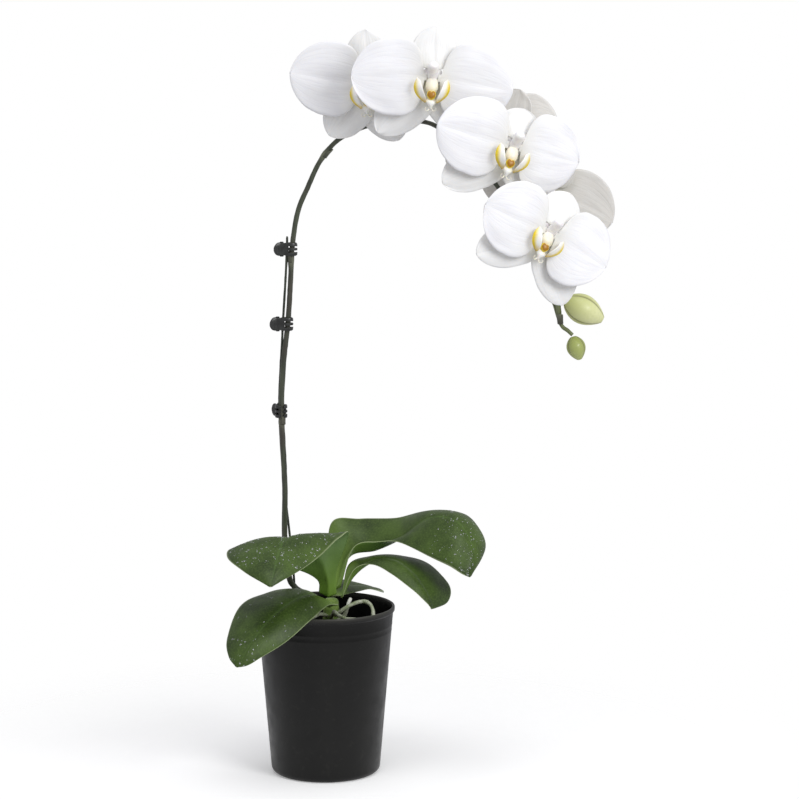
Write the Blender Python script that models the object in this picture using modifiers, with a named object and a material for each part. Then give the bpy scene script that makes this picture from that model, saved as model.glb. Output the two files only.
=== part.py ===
"""A white moth orchid in a moulded nursery pot, in metres, +Z up.

The origin is the centre of the pot's base. The plant's front is -Y and its spike arches towards +X.
Every shape is worked out in millimetres and scaled once, when its mesh is made.
"""

import math

import bmesh
import bpy
from mathutils import Matrix, Vector

MM = 0.001
GAP = 0.4  # clearance between neighbouring pieces

# Pot: a thin tapered wall with a rolled rim, a bead below it, and drain holes in the base.
POT_HEIGHT = 145.5
RIM_RADIUS = 60.0
RIM_DEPTH = 4.5
WALL_TOP_RADIUS = 58.6
WALL_FOOT_RADIUS = 46.8
WALL = 1.3
FOOT_CURVE = 5.5
BEAD_BELOW_RIM = 21.0
POT_SIDES = 36
DRAIN_HOLES = 6
DRAIN_RADIUS = 4.0
DRAIN_CIRCLE = 28.0

# Potting mix and the short stem that stands on it.
MIX_TOP = 120.0
MIX_MOUND = 3.0
STEM_AT = (5.0, 3.0)
STEM_RADIUS = 6.5
STEM_TOP = 151.0

# Leaves, petals and sepals are thin blades.
LEAF_THICKNESS = 1.8
LEAF_HALF_COLUMNS = 3
LEAF_BULGE = 0.045  # how far each half rises, as a share of the leaf's width
PETAL_THICKNESS = 1.1
PETAL_ROWS, PETAL_COLUMNS = 7, 4
PETAL_START = 4.5  # from the flower's centre to the foot of each petal
CLAW_HALF_WIDTH = 3.0
COLUMN_TILT = -48.0  # degrees, up from the way the flower faces
PETAL_LENGTH, PETAL_WIDTH = 62.0, 64.0
DORSAL_LENGTH, DORSAL_WIDTH = 36.0, 37.0
LATERAL_LENGTH, LATERAL_WIDTH = 60.0, 40.0

# Flower spike, and the wire stake that the clips hold it to.
SPIKE_RADIUS_FOOT, SPIKE_RADIUS_TIP = 2.6, 1.7
PEDICEL_RADIUS = 1.8
STAKE_RADIUS = 1.0

# Claw clip, about its hinge pin.
CLIP_HEIGHT = 11.0
PIN_RADIUS = 1.0
KNUCKLE_BORE, KNUCKLE_RADIUS = 1.4, 2.6
KNUCKLE_SPLIT = 2.0  # half the height of the middle knuckle
PIN_TO_SPIKE = 8.7
JAW_THICKNESS = 1.4

# The spike from the crown to its last bud.
SPIKE_ROUTE = [
    (-8, 9, 150), (-17, 11, 153), (-26, 12, 158), (-32, 10, 170), (-35, 7, 203), (-34.5, 4, 247),
    (-36, 2, 290), (-37, 2, 314), (-35, 2, 355), (-31, 1, 389), (-28.5, -1, 425), (-27, -3, 453),
    (-22, -4, 484), (-13, -6, 506), (-3, -8, 527), (11, -10, 544), (31, -12, 555), (60, -13, 561),
    (90, -14, 559), (110, -15, 544), (133, -16, 523), (152, -17, 498), (167, -18, 472),
    (182, -19, 438), (194, -20, 409), (200, -21, 391), (206, -22.5, 385.5), (209.7, -23, 382),
]
STAKE_ROUTE = [(-26, 18, 40), (-27, 17, 150), (-30.5, 13, 200), (-36, 9.5, 255), (-38.9, 6.2, 314),
               (-37.6, 4.8, 352), (-36.3, 3.3, 370), (-35.3, 1, 389), (-32.8, -2, 425),
               (-31.3, -3, 453), (-31.1, -3, 464)]

# Each clip: height, spike's place there, and the bearing of its pin seen from the spike, degrees.
CLIPS = {
    "clip_top": (453, (-27, -3), 180),
    "clip_middle": (389, (-31, 1), 180),
    "clip_bottom": (314, (-37, 2), 104),
}

# Leaf stations from base to tip: left margin, midrib and right margin, facing along the growth.
LEAVES = {
    "leaf_front": [
        ((10, -9, 157), (3, -11, 155), (-5, -8, 158)),
        ((10, -15, 178), (2, -21, 174), (-7, -14, 171)),
        ((21, -34, 214), (-7, -44, 199), (-29, -30, 185)),
        ((13, -60, 215), (-29, -68, 216), (-72, -55, 205)),
        ((-3, -88, 204), (-35, -92, 209), (-79, -80, 203)),
        ((-21, -108, 195), (-38, -112, 198), (-64, -106, 196)),
        ((-41, -124, 186), (-41, -124, 186), (-41, -124, 186)),
    ],
    "leaf_low_left": [
        ((12, -13, 149), (4, -16, 147), (-6, -12, 149)),
        ((2, -38, 152), (-10, -30, 160), (-23, -10, 161)),
        ((-13, -67, 144), (-26, -50, 159), (-48, -22, 161)),
        ((-30, -82, 132), (-44, -72, 148), (-71, -42, 153)),
        ((-50, -92, 121), (-59, -88, 131), (-80, -70, 132)),
        ((-61, -96, 115), (-66, -95, 119), (-78, -86, 120)),
        ((-71, -96, 113), (-71, -96, 113), (-71, -96, 113)),
    ],
    "leaf_high_right": [
        ((4, 13, 162), (9, 9, 157), (13, 5, 160)),
        ((4, 24, 212), (21, 10, 186), (24, 0, 195)),
        ((30, 28, 216), (44, 4, 193), (44, -6, 202)),
        ((61, 20, 218), (66, -4, 205), (64, -20, 204)),
        ((90, 12, 226), (90, -16, 224), (88, -44, 197)),
        ((122, -2, 224), (112, -32, 224), (106, -60, 191)),
        ((137, -28, 203), (125, -50, 205), (117, -64, 185)),
        ((123, -62, 182), (123, -62, 182), (123, -62, 182)),
    ],
    "leaf_mid_right": [
        ((15, 2, 155), (14, -1, 152), (15, -6, 154)),
        ((20, 5, 180), (25, -4, 172), (25, -10, 178)),
        ((38, 10, 186), (41, -9, 185), (41, -19, 185)),
        ((63, 8, 187), (59, -18, 188), (58, -36, 179)),
        ((88, -6, 183), (75, -32, 180), (74, -50, 170)),
        ((106, -22, 168), (86, -46, 167), (84, -58, 162)),
        ((105, -36, 156), (90, -52, 159), (88, -58, 158)),
        ((91, -54, 153), (91, -54, 153), (91, -54, 153)),
    ],
    "leaf_back": [
        ((0, 16, 153), (5, 15, 150), (12, 14, 151)),
        ((2, 34, 160), (14, 32, 155), (24, 26, 151)),
        ((10, 60, 156), (26, 56, 150), (37, 50, 149)),
        ((28, 82, 147), (39, 78, 144), (48, 70, 144)),
        ((50, 92, 138), (50, 92, 138), (50, 92, 138)),
    ],
}

# Aerial roots that grow from the stem, each ending just above the mix.
ROOTS = {
    "arch": [(6, -2, 138), (10, -14, 140), (16, -20, 146), (27, -17, 151), (35, -17, 152),
             (40, -21, 149), (42, -26, 141), (42, -28, 124.5)],
    "front": [(5, -2, 134), (8, -16, 143), (12, -28, 142.5), (20, -41, 142), (32, -40, 141),
              (41, -33, 138), (44, -28, 125)],
    "pale_tip": [(7, 1, 132), (14, -4, 134), (18, -8, 141), (20, -8, 148), (22, -6, 153)],
    "left": [(2, -1, 136), (-4, -16, 141), (-8, -34, 143), (-16, -42, 140), (-28, -38, 130)],
}
ROOT_RADIUS = 1.5

# Flowers: centre, where its stalk leaves the spike, turn, nod and roll in degrees, size, and the
# degrees between each lower sepal and straight down. Turn 0 faces -Y, and a positive turn +X.
FLOWERS = {
    "flower_1": ((38, -27, 592), (26, -12, 553), -7, 4, 0, 0.97, 24),
    "flower_2": ((91, -59, 598), (74, -13.5, 561), 0, 4, 4, 1.0, 40),
    "flower_3": ((157, -77, 542), (127, -15.7, 529), 10, 2, 20, 1.0, 42),
    "flower_4": ((186, -94, 473), (163, -17.5, 479), 14, 0, 32, 0.96, 42),
    "flower_5": ((154, 16, 553), (104, -14.7, 549), 172, 6, -20, 0.88, 40),
    "flower_6": ((189, 22, 502), (156, -17.2, 491), 168, 4, -26, 0.95, 40),
}

# How single petals differ: degrees turned anticlockwise as the flower is looked at, share of length.
BLADE_CHANGES = {
    ("flower_1", "sepal_dorsal"): (4, 1.14),
    ("flower_1", "sepal_left"): (-14, 0.88),
    ("flower_1", "petal_left"): (-8, 1.02),
    ("flower_1", "petal_right"): (-3, 0.7),
    ("flower_1", "sepal_right"): (3, 0.84),
    ("flower_2", "petal_left"): (3, 1.0),
    ("flower_2", "petal_right"): (-6, 1.0),
    ("flower_3", "sepal_dorsal"): (0, 0.75),
    ("flower_3", "sepal_right"): (8, 0.8),
    ("flower_3", "petal_left"): (4, 1.0),
    ("flower_3", "petal_right"): (6, 0.82),
    ("flower_4", "sepal_dorsal"): (0, 0.93),
    ("flower_4", "petal_left"): (9, 0.94),
    ("flower_4", "petal_right"): (0, 0.85),
    ("flower_4", "sepal_right"): (3, 1.0),
    ("flower_5", "petal_left"): (-28, 0.75),
    ("flower_6", "sepal_right"): (0, 0.82),
}

# Buds: base, tip, where the stalk leaves the spike, and the widest radius.
BUDS = {
    "bud_large": ((203, -26, 412), (235, -26, 395), (199.5, -21, 392.5), 12.5),
    "bud_small": ((210, -23, 381), (216, -23, 361), (206, -22.5, 385.5), 8.0),
}

COLOURS = {  # sub-part: base colour (sRGB), roughness
    "pot": ("#262625", 0.32),
    "mix": ("#3A2A1E", 0.95),
    "stem": ("#6F8A3C", 0.5),
    "leaf": ("#4A5F30", 0.38),
    "spike": ("#4F523F", 0.5),
    "stake": ("#2C2F2A", 0.5),
    "clip": ("#2B2D2B", 0.35),
    "petal": ("#F4F3F6", 0.55),
    "lip": ("#F2DE9A", 0.5),
    "column": ("#FAF8F6", 0.45),
    "bud": ("#C4CB86", 0.5),
}


def clear_scene():
    for thing in list(bpy.data.objects):
        bpy.data.objects.remove(thing, do_unlink=True)


def new_collection(name):
    made = bpy.data.collections.new(name)
    bpy.context.scene.collection.children.link(made)
    return made


def linear(channel):
    return channel / 12.92 if channel <= 0.04045 else ((channel + 0.055) / 1.055) ** 2.4


def material(name, finish):
    """The piece's own Principled material."""
    colour, roughness = COLOURS[finish]
    made = bpy.data.materials.new(name)
    made.use_nodes = True
    shader = made.node_tree.nodes["Principled BSDF"]
    rgb = [linear(int(colour[i:i + 2], 16) / 255) for i in (1, 3, 5)]
    shader.inputs["Base Color"].default_value = (*rgb, 1.0)
    shader.inputs["Roughness"].default_value = roughness
    return made


def place(obj, finish, collection):
    obj.data.materials.clear()
    obj.data.materials.append(material(obj.name, finish))
    collection.objects.link(obj)
    return obj


def from_bmesh(name, shape):
    """An object whose mesh is this shape, scaled from millimetres."""
    bmesh.ops.scale(shape, vec=(MM, MM, MM), verts=shape.verts)
    mesh = bpy.data.meshes.new(name)
    shape.to_mesh(mesh)
    shape.free()
    mesh.shade_smooth()
    return bpy.data.objects.new(name, mesh)


def in_metres(frame):
    """This placing, for an object whose mesh is in metres already."""
    return Matrix.Scale(MM, 4) @ frame @ Matrix.Scale(1 / MM, 4)


def hide_as_helper(obj, collection):
    obj.hide_render = True
    obj.display_type = "WIRE"
    collection.objects.link(obj)
    return obj


def boolean(obj, other, operation):
    step = obj.modifiers.new(f"{operation.lower()}_{other.name}", "BOOLEAN")
    step.operation = operation
    step.object = other
    step.solver = "EXACT"


def smooth_route(points, count):
    """Catmull-Rom curve through the points, as count evenly parted places along it."""
    knots = [Vector(p) for p in points]
    ends = [2 * knots[0] - knots[1]], [2 * knots[-1] - knots[-2]]
    knots = ends[0] + knots + ends[1]
    spans = len(points) - 1
    found = []
    for i in range(count):
        at = i / (count - 1) * spans
        k = min(int(at), spans - 1)
        t = at - k
        a, b, c, d = knots[k:k + 4]
        found.append(0.5 * ((2 * b) + (c - a) * t + (2 * a - 5 * b + 4 * c - d) * t ** 2
                            + (3 * b - a - 3 * c + d) * t ** 3))
    return found


def tube(name, places, radii):
    """A round closed mesh along the places, from a curve with a bevel and filled caps."""
    curve = bpy.data.curves.new(name, "CURVE")
    curve.dimensions = "3D"
    curve.bevel_depth = MM
    curve.bevel_resolution = 2
    curve.use_fill_caps = True
    spline = curve.splines.new("POLY")
    spline.points.add(len(places) - 1)
    for point, spot, radius in zip(spline.points, places, radii):
        point.co = (*(Vector(spot) * MM), 1)
        point.radius = radius
    guide = bpy.data.objects.new(name + "_guide", curve)
    bpy.context.scene.collection.objects.link(guide)
    graph = bpy.context.evaluated_depsgraph_get()
    mesh = bpy.data.meshes.new_from_object(guide.evaluated_get(graph))
    shape = bmesh.new()
    shape.from_mesh(mesh)
    bmesh.ops.remove_doubles(shape, verts=shape.verts, dist=1e-6)
    bmesh.ops.recalc_face_normals(shape, faces=shape.faces)
    shape.to_mesh(mesh)
    shape.free()
    mesh.name = name
    mesh.shade_smooth()
    made = bpy.data.objects.new(name, mesh)
    made.matrix_world = guide.matrix_world
    bpy.data.objects.remove(guide, do_unlink=True)
    return made


def blade(name, rows, thickness):
    """A thin closed sheet over rows of points, whose last row may shrink to a point."""
    shape = bmesh.new()
    grid = [[shape.verts.new(p) for p in row] for row in rows]
    for near, far in zip(grid, grid[1:]):
        for k in range(len(near) - 1):
            shape.faces.new((near[k], near[k + 1], far[k + 1], far[k]))
    bmesh.ops.remove_doubles(shape, verts=shape.verts, dist=0.01)
    made = from_bmesh(name, shape)
    wall = made.modifiers.new("thickness", "SOLIDIFY")
    wall.thickness = thickness * MM
    wall.offset = 0
    return made


def turned(name, profile, steps):
    """A closed turned solid: the profile (radius, height) runs inner side up, outer side down."""
    shape = bmesh.new()
    points = [shape.verts.new((r, 0, z)) for r, z in profile]
    for a, b in zip(points, points[1:]):
        shape.edges.new((a, b))
    made = from_bmesh(name, shape)
    screw = made.modifiers.new("turn", "SCREW")
    screw.steps = screw.render_steps = steps
    screw.use_merge_vertices = True
    screw.merge_threshold = 1e-5
    return made


def arc(centre, radius, start, end, count):
    """Points on an arc, its angles in degrees."""
    turns = [math.radians(start + (end - start) * i / (count - 1)) for i in range(count)]
    return [(centre[0] + radius * math.cos(a), centre[1] + radius * math.sin(a)) for a in turns]


def wall_radius(height):
    """The pot's outer radius at this height."""
    share = height / (POT_HEIGHT - RIM_DEPTH)
    return WALL_FOOT_RADIUS + (WALL_TOP_RADIUS - WALL_FOOT_RADIUS) * share


def make_pot(parts, cutters):
    under_rim = POT_HEIGHT - RIM_DEPTH
    bead = POT_HEIGHT - BEAD_BELOW_RIM
    foot = wall_radius(FOOT_CURVE) - FOOT_CURVE
    inside = [(r - WALL, z) for r, z in ((wall_radius(8), 8), (wall_radius(under_rim), under_rim))]
    outside = [(RIM_RADIUS, under_rim + 0.8), (WALL_TOP_RADIUS + 0.6, under_rim),
               (WALL_TOP_RADIUS, under_rim - 0.8)]
    ring = [(wall_radius(bead + dz) + out, bead + dz)
            for dz, out in ((1.5, 0), (0.8, 0.4), (-0.8, 0.4), (-1.5, 0))]
    profile = [(0, WALL + 0.3), (foot - 1, WALL + 0.3), (inside[0][0] - 1.5, 3.5), *inside]
    profile += [(RIM_RADIUS - 2.2, POT_HEIGHT - 0.6)]
    profile += reversed(arc((RIM_RADIUS - 1.2, POT_HEIGHT - 1.2), 1.2, 0, 120, 4))
    profile += [*outside, *ring]
    profile += reversed(arc((foot, FOOT_CURVE), FOOT_CURVE, -90, 0, 4))
    profile += [(0, 0)]
    pot = place(turned("pot", profile, POT_SIDES), "pot", parts)
    for k in range(DRAIN_HOLES):
        turn = math.tau * k / DRAIN_HOLES
        shape = bmesh.new()
        bmesh.ops.create_cone(shape, cap_ends=True, segments=10, radius1=DRAIN_RADIUS,
                              radius2=DRAIN_RADIUS, depth=6)
        bmesh.ops.translate(shape, verts=shape.verts,
                            vec=(DRAIN_CIRCLE * math.cos(turn), DRAIN_CIRCLE * math.sin(turn), 0))
        boolean(pot, hide_as_helper(from_bmesh(f"drain_cutter_{k + 1}", shape), cutters), "DIFFERENCE")


def make_mix(parts, cutters):
    """The bark mix fills the pot to well below its rim, and the stake stands in it."""
    low = WALL + 0.3 + GAP
    edge_foot = wall_radius(8) - WALL - GAP - 1.5
    edge_top = wall_radius(MIX_TOP) - WALL - GAP - 0.4
    profile = [(0, MIX_TOP + MIX_MOUND), (20, MIX_TOP + MIX_MOUND - 0.6), (40, MIX_TOP + 1),
               (edge_top - 2, MIX_TOP), (edge_top, MIX_TOP - 2), (edge_foot, 8), (edge_foot - 3, low),
               (0, low)]
    mix = place(turned("bark_mix", profile, 24), "mix", parts)
    socket = tube("stake_socket", STAKE_ROUTE[:2], [STAKE_RADIUS + GAP] * 2)
    socket.data.transform(Matrix.Translation((0, 0, -GAP * MM)))
    boolean(mix, hide_as_helper(socket, cutters), "DIFFERENCE")


def make_stem(parts, cutters):
    """The short green stem between the leaf bases, with its aerial roots."""
    foot = MIX_TOP + MIX_MOUND + GAP
    x, y = STEM_AT
    profile = [(0, STEM_TOP), (STEM_RADIUS - 2, STEM_TOP - 0.6), (STEM_RADIUS, STEM_TOP - 3),
               (STEM_RADIUS + 1, (STEM_TOP + foot) / 2), (STEM_RADIUS - 0.5, foot + 1), (0, foot)]
    stem = turned("stem_and_roots", profile, 16)
    stem.location = (x * MM, y * MM, 0)
    place(stem, "stem", parts)
    for name, route in ROOTS.items():
        places = smooth_route(route, 2 * len(route) + 1)
        radii = [ROOT_RADIUS] * (len(places) - 1) + [ROOT_RADIUS * 0.6]
        boolean(stem, hide_as_helper(tube(f"root_{name}", places, radii), cutters), "UNION")


def leaf_rows(stations, rows):
    """Cross-sections of a leaf: each half bulges up between the midrib groove and its margin."""
    margins = [smooth_route([station[k] for station in stations], rows) for k in range(3)]
    found = []
    for i in range(rows):
        left, middle, right = (line[i] for line in margins)
        ahead = margins[1][min(i + 1, rows - 1)] - margins[1][max(i - 1, 0)]
        across = left - right
        up = ahead.cross(across).normalized() if across.length > 0.1 else Vector((0, 0, 1))
        row = []
        for k in range(-LEAF_HALF_COLUMNS, LEAF_HALF_COLUMNS + 1):
            share = abs(k) / LEAF_HALF_COLUMNS
            edge = left if k < 0 else right
            lift = LEAF_BULGE * across.length * math.sin(math.pi * share)
            row.append(middle.lerp(edge, share) + up * lift)
        found.append(row)
    return found


def make_leaves(parts):
    for name, stations in LEAVES.items():
        rows = leaf_rows(stations, 2 * len(stations))
        place(blade(name, rows, LEAF_THICKNESS), "leaf", parts)


def flower_frame(centre, turn, nod, roll, size):
    """Local +Z is the way the flower faces, +Y its top and +X to the right as it is looked at."""
    upright = Matrix.Rotation(math.radians(90), 4, "X")
    turned_about = Matrix.Rotation(math.radians(turn), 4, "Z")
    nodded = Matrix.Rotation(math.radians(nod), 4, "X")
    rolled = Matrix.Rotation(math.radians(-roll), 4, "Z")
    return Matrix.Translation(centre) @ turned_about @ upright @ nodded @ rolled @ Matrix.Scale(size, 4)


def blade_half_width(along, width, fullness):
    """Half the width of a petal at this share of its length, from its narrow claw to its tip."""
    body = max(0.0, (along - 0.05) / 0.95)
    swell = max(0.0, 1 - abs(2 * body ** fullness - 1) ** 2.3) ** 0.55
    return CLAW_HALF_WIDTH * (1 - along) + (width / 2 - CLAW_HALF_WIDTH / 2) * swell


def petal_rows(length, width, fullness, lean, cup, base):
    """A petal or sepal along +X from its base, cupped back by cup at its sides."""
    found = []
    for i in range(PETAL_ROWS):
        along = (1 - math.cos(math.pi * i / (PETAL_ROWS - 1))) / 2
        half = 0.0 if i == PETAL_ROWS - 1 else blade_half_width(along, width, fullness)
        row = []
        for k in range(PETAL_COLUMNS + 1):
            side = 2 * k / PETAL_COLUMNS - 1
            height = base + lean * along - cup * side ** 2 * math.sin(math.pi * along)
            row.append(Vector((PETAL_START + length * along, half * side, height)))
        found.append(row)
    return found


def make_flower(name, spec, parts, cutters):
    """Three sepals behind, two broad petals over them, the lip, and the column."""
    centre, _, *pose, lateral_turn = spec
    frame = flower_frame(centre, *pose)
    sepal = dict(fullness=0.8, lean=-7.0, cup=1.5)
    blades = {
        "sepal_dorsal": (90, dict(length=DORSAL_LENGTH, width=DORSAL_WIDTH, base=-1.2, **sepal)),
        "sepal_left": (-90 - lateral_turn,
                       dict(length=LATERAL_LENGTH, width=LATERAL_WIDTH, base=-1.2, **sepal)),
        "sepal_right": (-90 + lateral_turn,
                        dict(length=LATERAL_LENGTH, width=LATERAL_WIDTH, base=-3.0, **sepal)),
        "petal_left": (180, dict(length=PETAL_LENGTH, width=PETAL_WIDTH, fullness=0.78, lean=2.0,
                                 cup=1.5, base=1.2)),
        "petal_right": (0, dict(length=PETAL_LENGTH, width=PETAL_WIDTH, fullness=0.78, lean=2.0,
                                cup=1.5, base=1.2)),
    }
    for part, (angle, shape) in blades.items():
        turn, stretch = BLADE_CHANGES.get((name, part), (0, 1.0))
        shape["length"] *= stretch
        placed = frame @ Matrix.Rotation(math.radians(angle + turn), 4, "Z")
        rows = [[placed @ point for point in row] for row in petal_rows(**shape)]
        place(blade(f"{name}_{part}", rows, PETAL_THICKNESS), "petal", parts)
    make_column(f"{name}_column", frame, parts)
    make_lip(f"{name}_lip", frame, parts, cutters)


def ellipsoid(shape, radii, placed, segments=6):
    """Adds a rounded lobe with these radii to the shape."""
    scale = Matrix.Diagonal((*radii, 1))
    bmesh.ops.create_uvsphere(shape, u_segments=segments, v_segments=segments * 3 // 4, radius=1,
                              matrix=placed @ scale)


def make_column(name, frame, parts):
    """A short club from the flower's centre, out and up to its rounded anther cap."""
    profile = [(0, 16), (2.6, 15.2), (4.0, 12), (3.6, 8), (2.6, 4), (3.0, 0), (2.4, -1.6), (0, -2)]
    column = turned(name, profile, 10)
    column.matrix_world = in_metres(frame @ Matrix.Rotation(math.radians(COLUMN_TILT), 4, "X"))
    place(column, "column", parts)


def make_lip(name, frame, parts, cutters):
    """The lip: a rounded callus, an upright lobe each side and a tongue below."""
    lobes = [
        ((10.8, 7.0, 3.8), Matrix.Translation((0, -13, 7.0))),
        ((3.4, 7.5, 2.4), Matrix.Translation((0, -20, 9.5)) @ Matrix.Rotation(0.3, 4, "X")),
    ]
    for side in (-1, 1):
        turn = Matrix.Rotation(math.radians(18 * side), 4, "Z") @ Matrix.Rotation(0.5 * side, 4, "Y")
        lobes.append(((2.2, 9.0, 4.6), Matrix.Translation((11 * side, -11.5, 9)) @ turn))
    pieces = []
    for k, (radii, placed) in enumerate(lobes):
        shape = bmesh.new()
        ellipsoid(shape, radii, frame @ placed)
        pieces.append(from_bmesh(name if k == 0 else f"{name}_lobe_{k}", shape))
    for lobe in pieces[1:]:
        boolean(pieces[0], hide_as_helper(lobe, cutters), "UNION")
    place(pieces[0], "lip", parts)


def make_buds(parts):
    for name, (base, tip, _, radius) in BUDS.items():
        axis = Vector(tip) - Vector(base)
        length = axis.length
        profile = [(0, length), (radius * 0.45, length * 0.93), (radius * 0.85, length * 0.72),
                   (radius, length * 0.45), (radius * 0.8, length * 0.2), (radius * 0.35, GAP), (0, GAP)]
        bud = turned(name, profile, 12)
        upright = axis.to_track_quat("Z", "Y").to_matrix().to_4x4()
        bud.matrix_world = in_metres(Matrix.Translation(base) @ upright)
        place(bud, "bud", parts)


def make_spike(parts, cutters):
    """The spike with the stalk of every flower and bud grown from it."""
    places = smooth_route(SPIKE_ROUTE, 2 * len(SPIKE_ROUTE) - 1)
    taper = [SPIKE_RADIUS_FOOT + (SPIKE_RADIUS_TIP - SPIKE_RADIUS_FOOT) * i / (len(places) - 1)
             for i in range(len(places))]
    spike = place(tube("flower_spike", places, taper), "spike", parts)
    for name, (centre, start, *pose, _) in FLOWERS.items():
        frame = flower_frame(centre, *pose)
        back = [frame @ Vector(p) for p in ((0, -15, -20), (0, -4.5, -10), (0, -1, -2.3 - GAP))]
        start = Vector(start)
        route = [start, start.lerp(back[0], 0.5) + Vector((0, 0, 3)), *back]
        stalk = tube(f"{name}_stalk", smooth_route(route, 9), [PEDICEL_RADIUS] * 9)
        boolean(spike, hide_as_helper(stalk, cutters), "UNION")
    base, tip, start, _ = BUDS["bud_large"]
    inward = (Vector(base) - Vector(tip)).normalized()
    route = [Vector(start), Vector(base) + inward * 7, Vector(base) + inward * 0.3]
    stalk = tube("bud_large_stalk", smooth_route(route, 5), [PEDICEL_RADIUS] * 5)
    boolean(spike, hide_as_helper(stalk, cutters), "UNION")


def jaw_outline(side):
    """A jaw seen from above, from its grip, past the pin, to the finger tips that close on the spike."""
    half = JAW_THICKNESS / 2
    spine = smooth_route([(-6.5, 5.0, 0), (-3.5, 4.0, 0), (-0.5, 2.9, 0), (4, 4.0, 0), (8, 4.6, 0),
                          (11.3, 3.6, 0), (12.7, 1.2, 0)], 11)
    outer, inner = [], []
    for k, point in enumerate(spine):
        ahead = spine[min(k + 1, len(spine) - 1)] - spine[max(k - 1, 0)]
        off = Vector((-ahead.y, ahead.x, 0)).normalized() * half
        outer.append(point + off)
        inner.append(point - off)
    return [Vector((p.x, p.y * side, 0)) for p in outer + inner[::-1]]


def prism(outline, low, high):
    """A closed straight-sided solid over an outline, between two heights."""
    shape = bmesh.new()
    floor = [shape.verts.new((p.x, p.y, low)) for p in outline]
    roof = [shape.verts.new((p.x, p.y, high)) for p in outline]
    count = len(outline)
    for k in range(count):
        shape.faces.new((floor[k], floor[(k + 1) % count], roof[(k + 1) % count], roof[k]))
    shape.faces.new(floor[::-1])
    shape.faces.new(roof)
    bmesh.ops.recalc_face_normals(shape, faces=shape.faces)
    return shape


def cylinder(radius, low, high, segments):
    shape = bmesh.new()
    bmesh.ops.create_cone(shape, cap_ends=True, segments=segments, radius1=radius, radius2=radius,
                          depth=high - low, matrix=Matrix.Translation((0, 0, (low + high) / 2)))
    return shape


def box(low, high):
    shape = bmesh.new()
    size = [b - a for a, b in zip(low, high)]
    middle = [(a + b) / 2 for a, b in zip(low, high)]
    bmesh.ops.create_cube(shape, size=1, matrix=Matrix.Translation(middle) @ Matrix.Diagonal((*size, 1)))
    return shape


def make_jaw(name, side, placed, parts, cutters):
    """One jaw, side 1 with the pin and the middle knuckle, side -1 with the two outer knuckles."""
    half = CLIP_HEIGHT / 2
    jaw = from_bmesh(name, prism(jaw_outline(side), -half, half))
    fixed = side == 1

    def step(shape, label, operation):
        helper = from_bmesh(f"{name}_{label}", shape)
        helper.matrix_world = placed
        boolean(jaw, hide_as_helper(helper, cutters), operation)

    own, others = (-KNUCKLE_SPLIT, KNUCKLE_SPLIT), (KNUCKLE_SPLIT, half + 1)
    room = KNUCKLE_RADIUS + GAP
    if fixed:
        for k, sign in enumerate((-1, 1)):
            low, high = sorted(sign * z for z in others)
            step(cylinder(room, low, high, 10), f"knuckle_room_{k}", "DIFFERENCE")
        step(cylinder(KNUCKLE_RADIUS, own[0] + GAP / 2, own[1] - GAP / 2, 10), "knuckle", "UNION")
        step(cylinder(PIN_RADIUS, -half - 0.8, half + 0.8, 10), "pin", "UNION")
    else:
        step(cylinder(room, own[0] - GAP / 2, own[1] + GAP / 2, 10), "knuckle_room", "DIFFERENCE")
        for k, sign in enumerate((-1, 1)):
            low, high = sorted(sign * z for z in (own[1] + GAP / 2, half))
            step(cylinder(KNUCKLE_RADIUS, low, high, 10), f"knuckle_{k}", "UNION")
        step(cylinder(KNUCKLE_BORE, -half - 1, half + 1, 10), "bore", "DIFFERENCE")
    for k, z in enumerate((-half / 2 + 0.2, half / 2 - 0.2)):
        step(box((5.5, min(0, 8 * side), z - 1), (16, max(0, 8 * side), z + 1)), f"finger_gap_{k}",
             "DIFFERENCE")
    jaw.matrix_world = placed
    place(jaw, "clip", parts)


def make_clips(parts, cutters):
    for name, (height, (x, y), bearing) in CLIPS.items():
        turn = math.radians(bearing)
        pin = Vector((x + PIN_TO_SPIKE * math.cos(turn), y + PIN_TO_SPIKE * math.sin(turn), height))
        placed = in_metres(Matrix.Translation(pin) @ Matrix.Rotation(turn + math.pi, 4, "Z"))
        make_jaw(f"{name}_fixed_jaw", 1, placed, parts, cutters)
        make_jaw(f"{name}_moving_jaw", -1, placed, parts, cutters)


def make_stake(parts):
    places = smooth_route(STAKE_ROUTE, 3 * len(STAKE_ROUTE))
    place(tube("wire_stake", places, [STAKE_RADIUS] * len(places)), "stake", parts)


def main():
    clear_scene()
    parts = new_collection("potted_orchid")
    cutters = new_collection("cutters")
    make_pot(parts, cutters)
    make_mix(parts, cutters)
    make_stem(parts, cutters)
    make_leaves(parts)
    make_spike(parts, cutters)
    make_stake(parts)
    make_clips(parts, cutters)
    for name, spec in FLOWERS.items():
        make_flower(name, spec, parts, cutters)
    make_buds(parts)


main()
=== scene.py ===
"""The looks of a white moth orchid in a nursery pot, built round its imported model.

Shapes are worked out in millimetres in the model's own frame and scaled once, when a mesh is made.
The pot stands at the origin, its front is -Y, and the flower spike arches towards +X.
"""

import math
import random

import bmesh
import bpy
from mathutils import Matrix, Vector, noise


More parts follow.
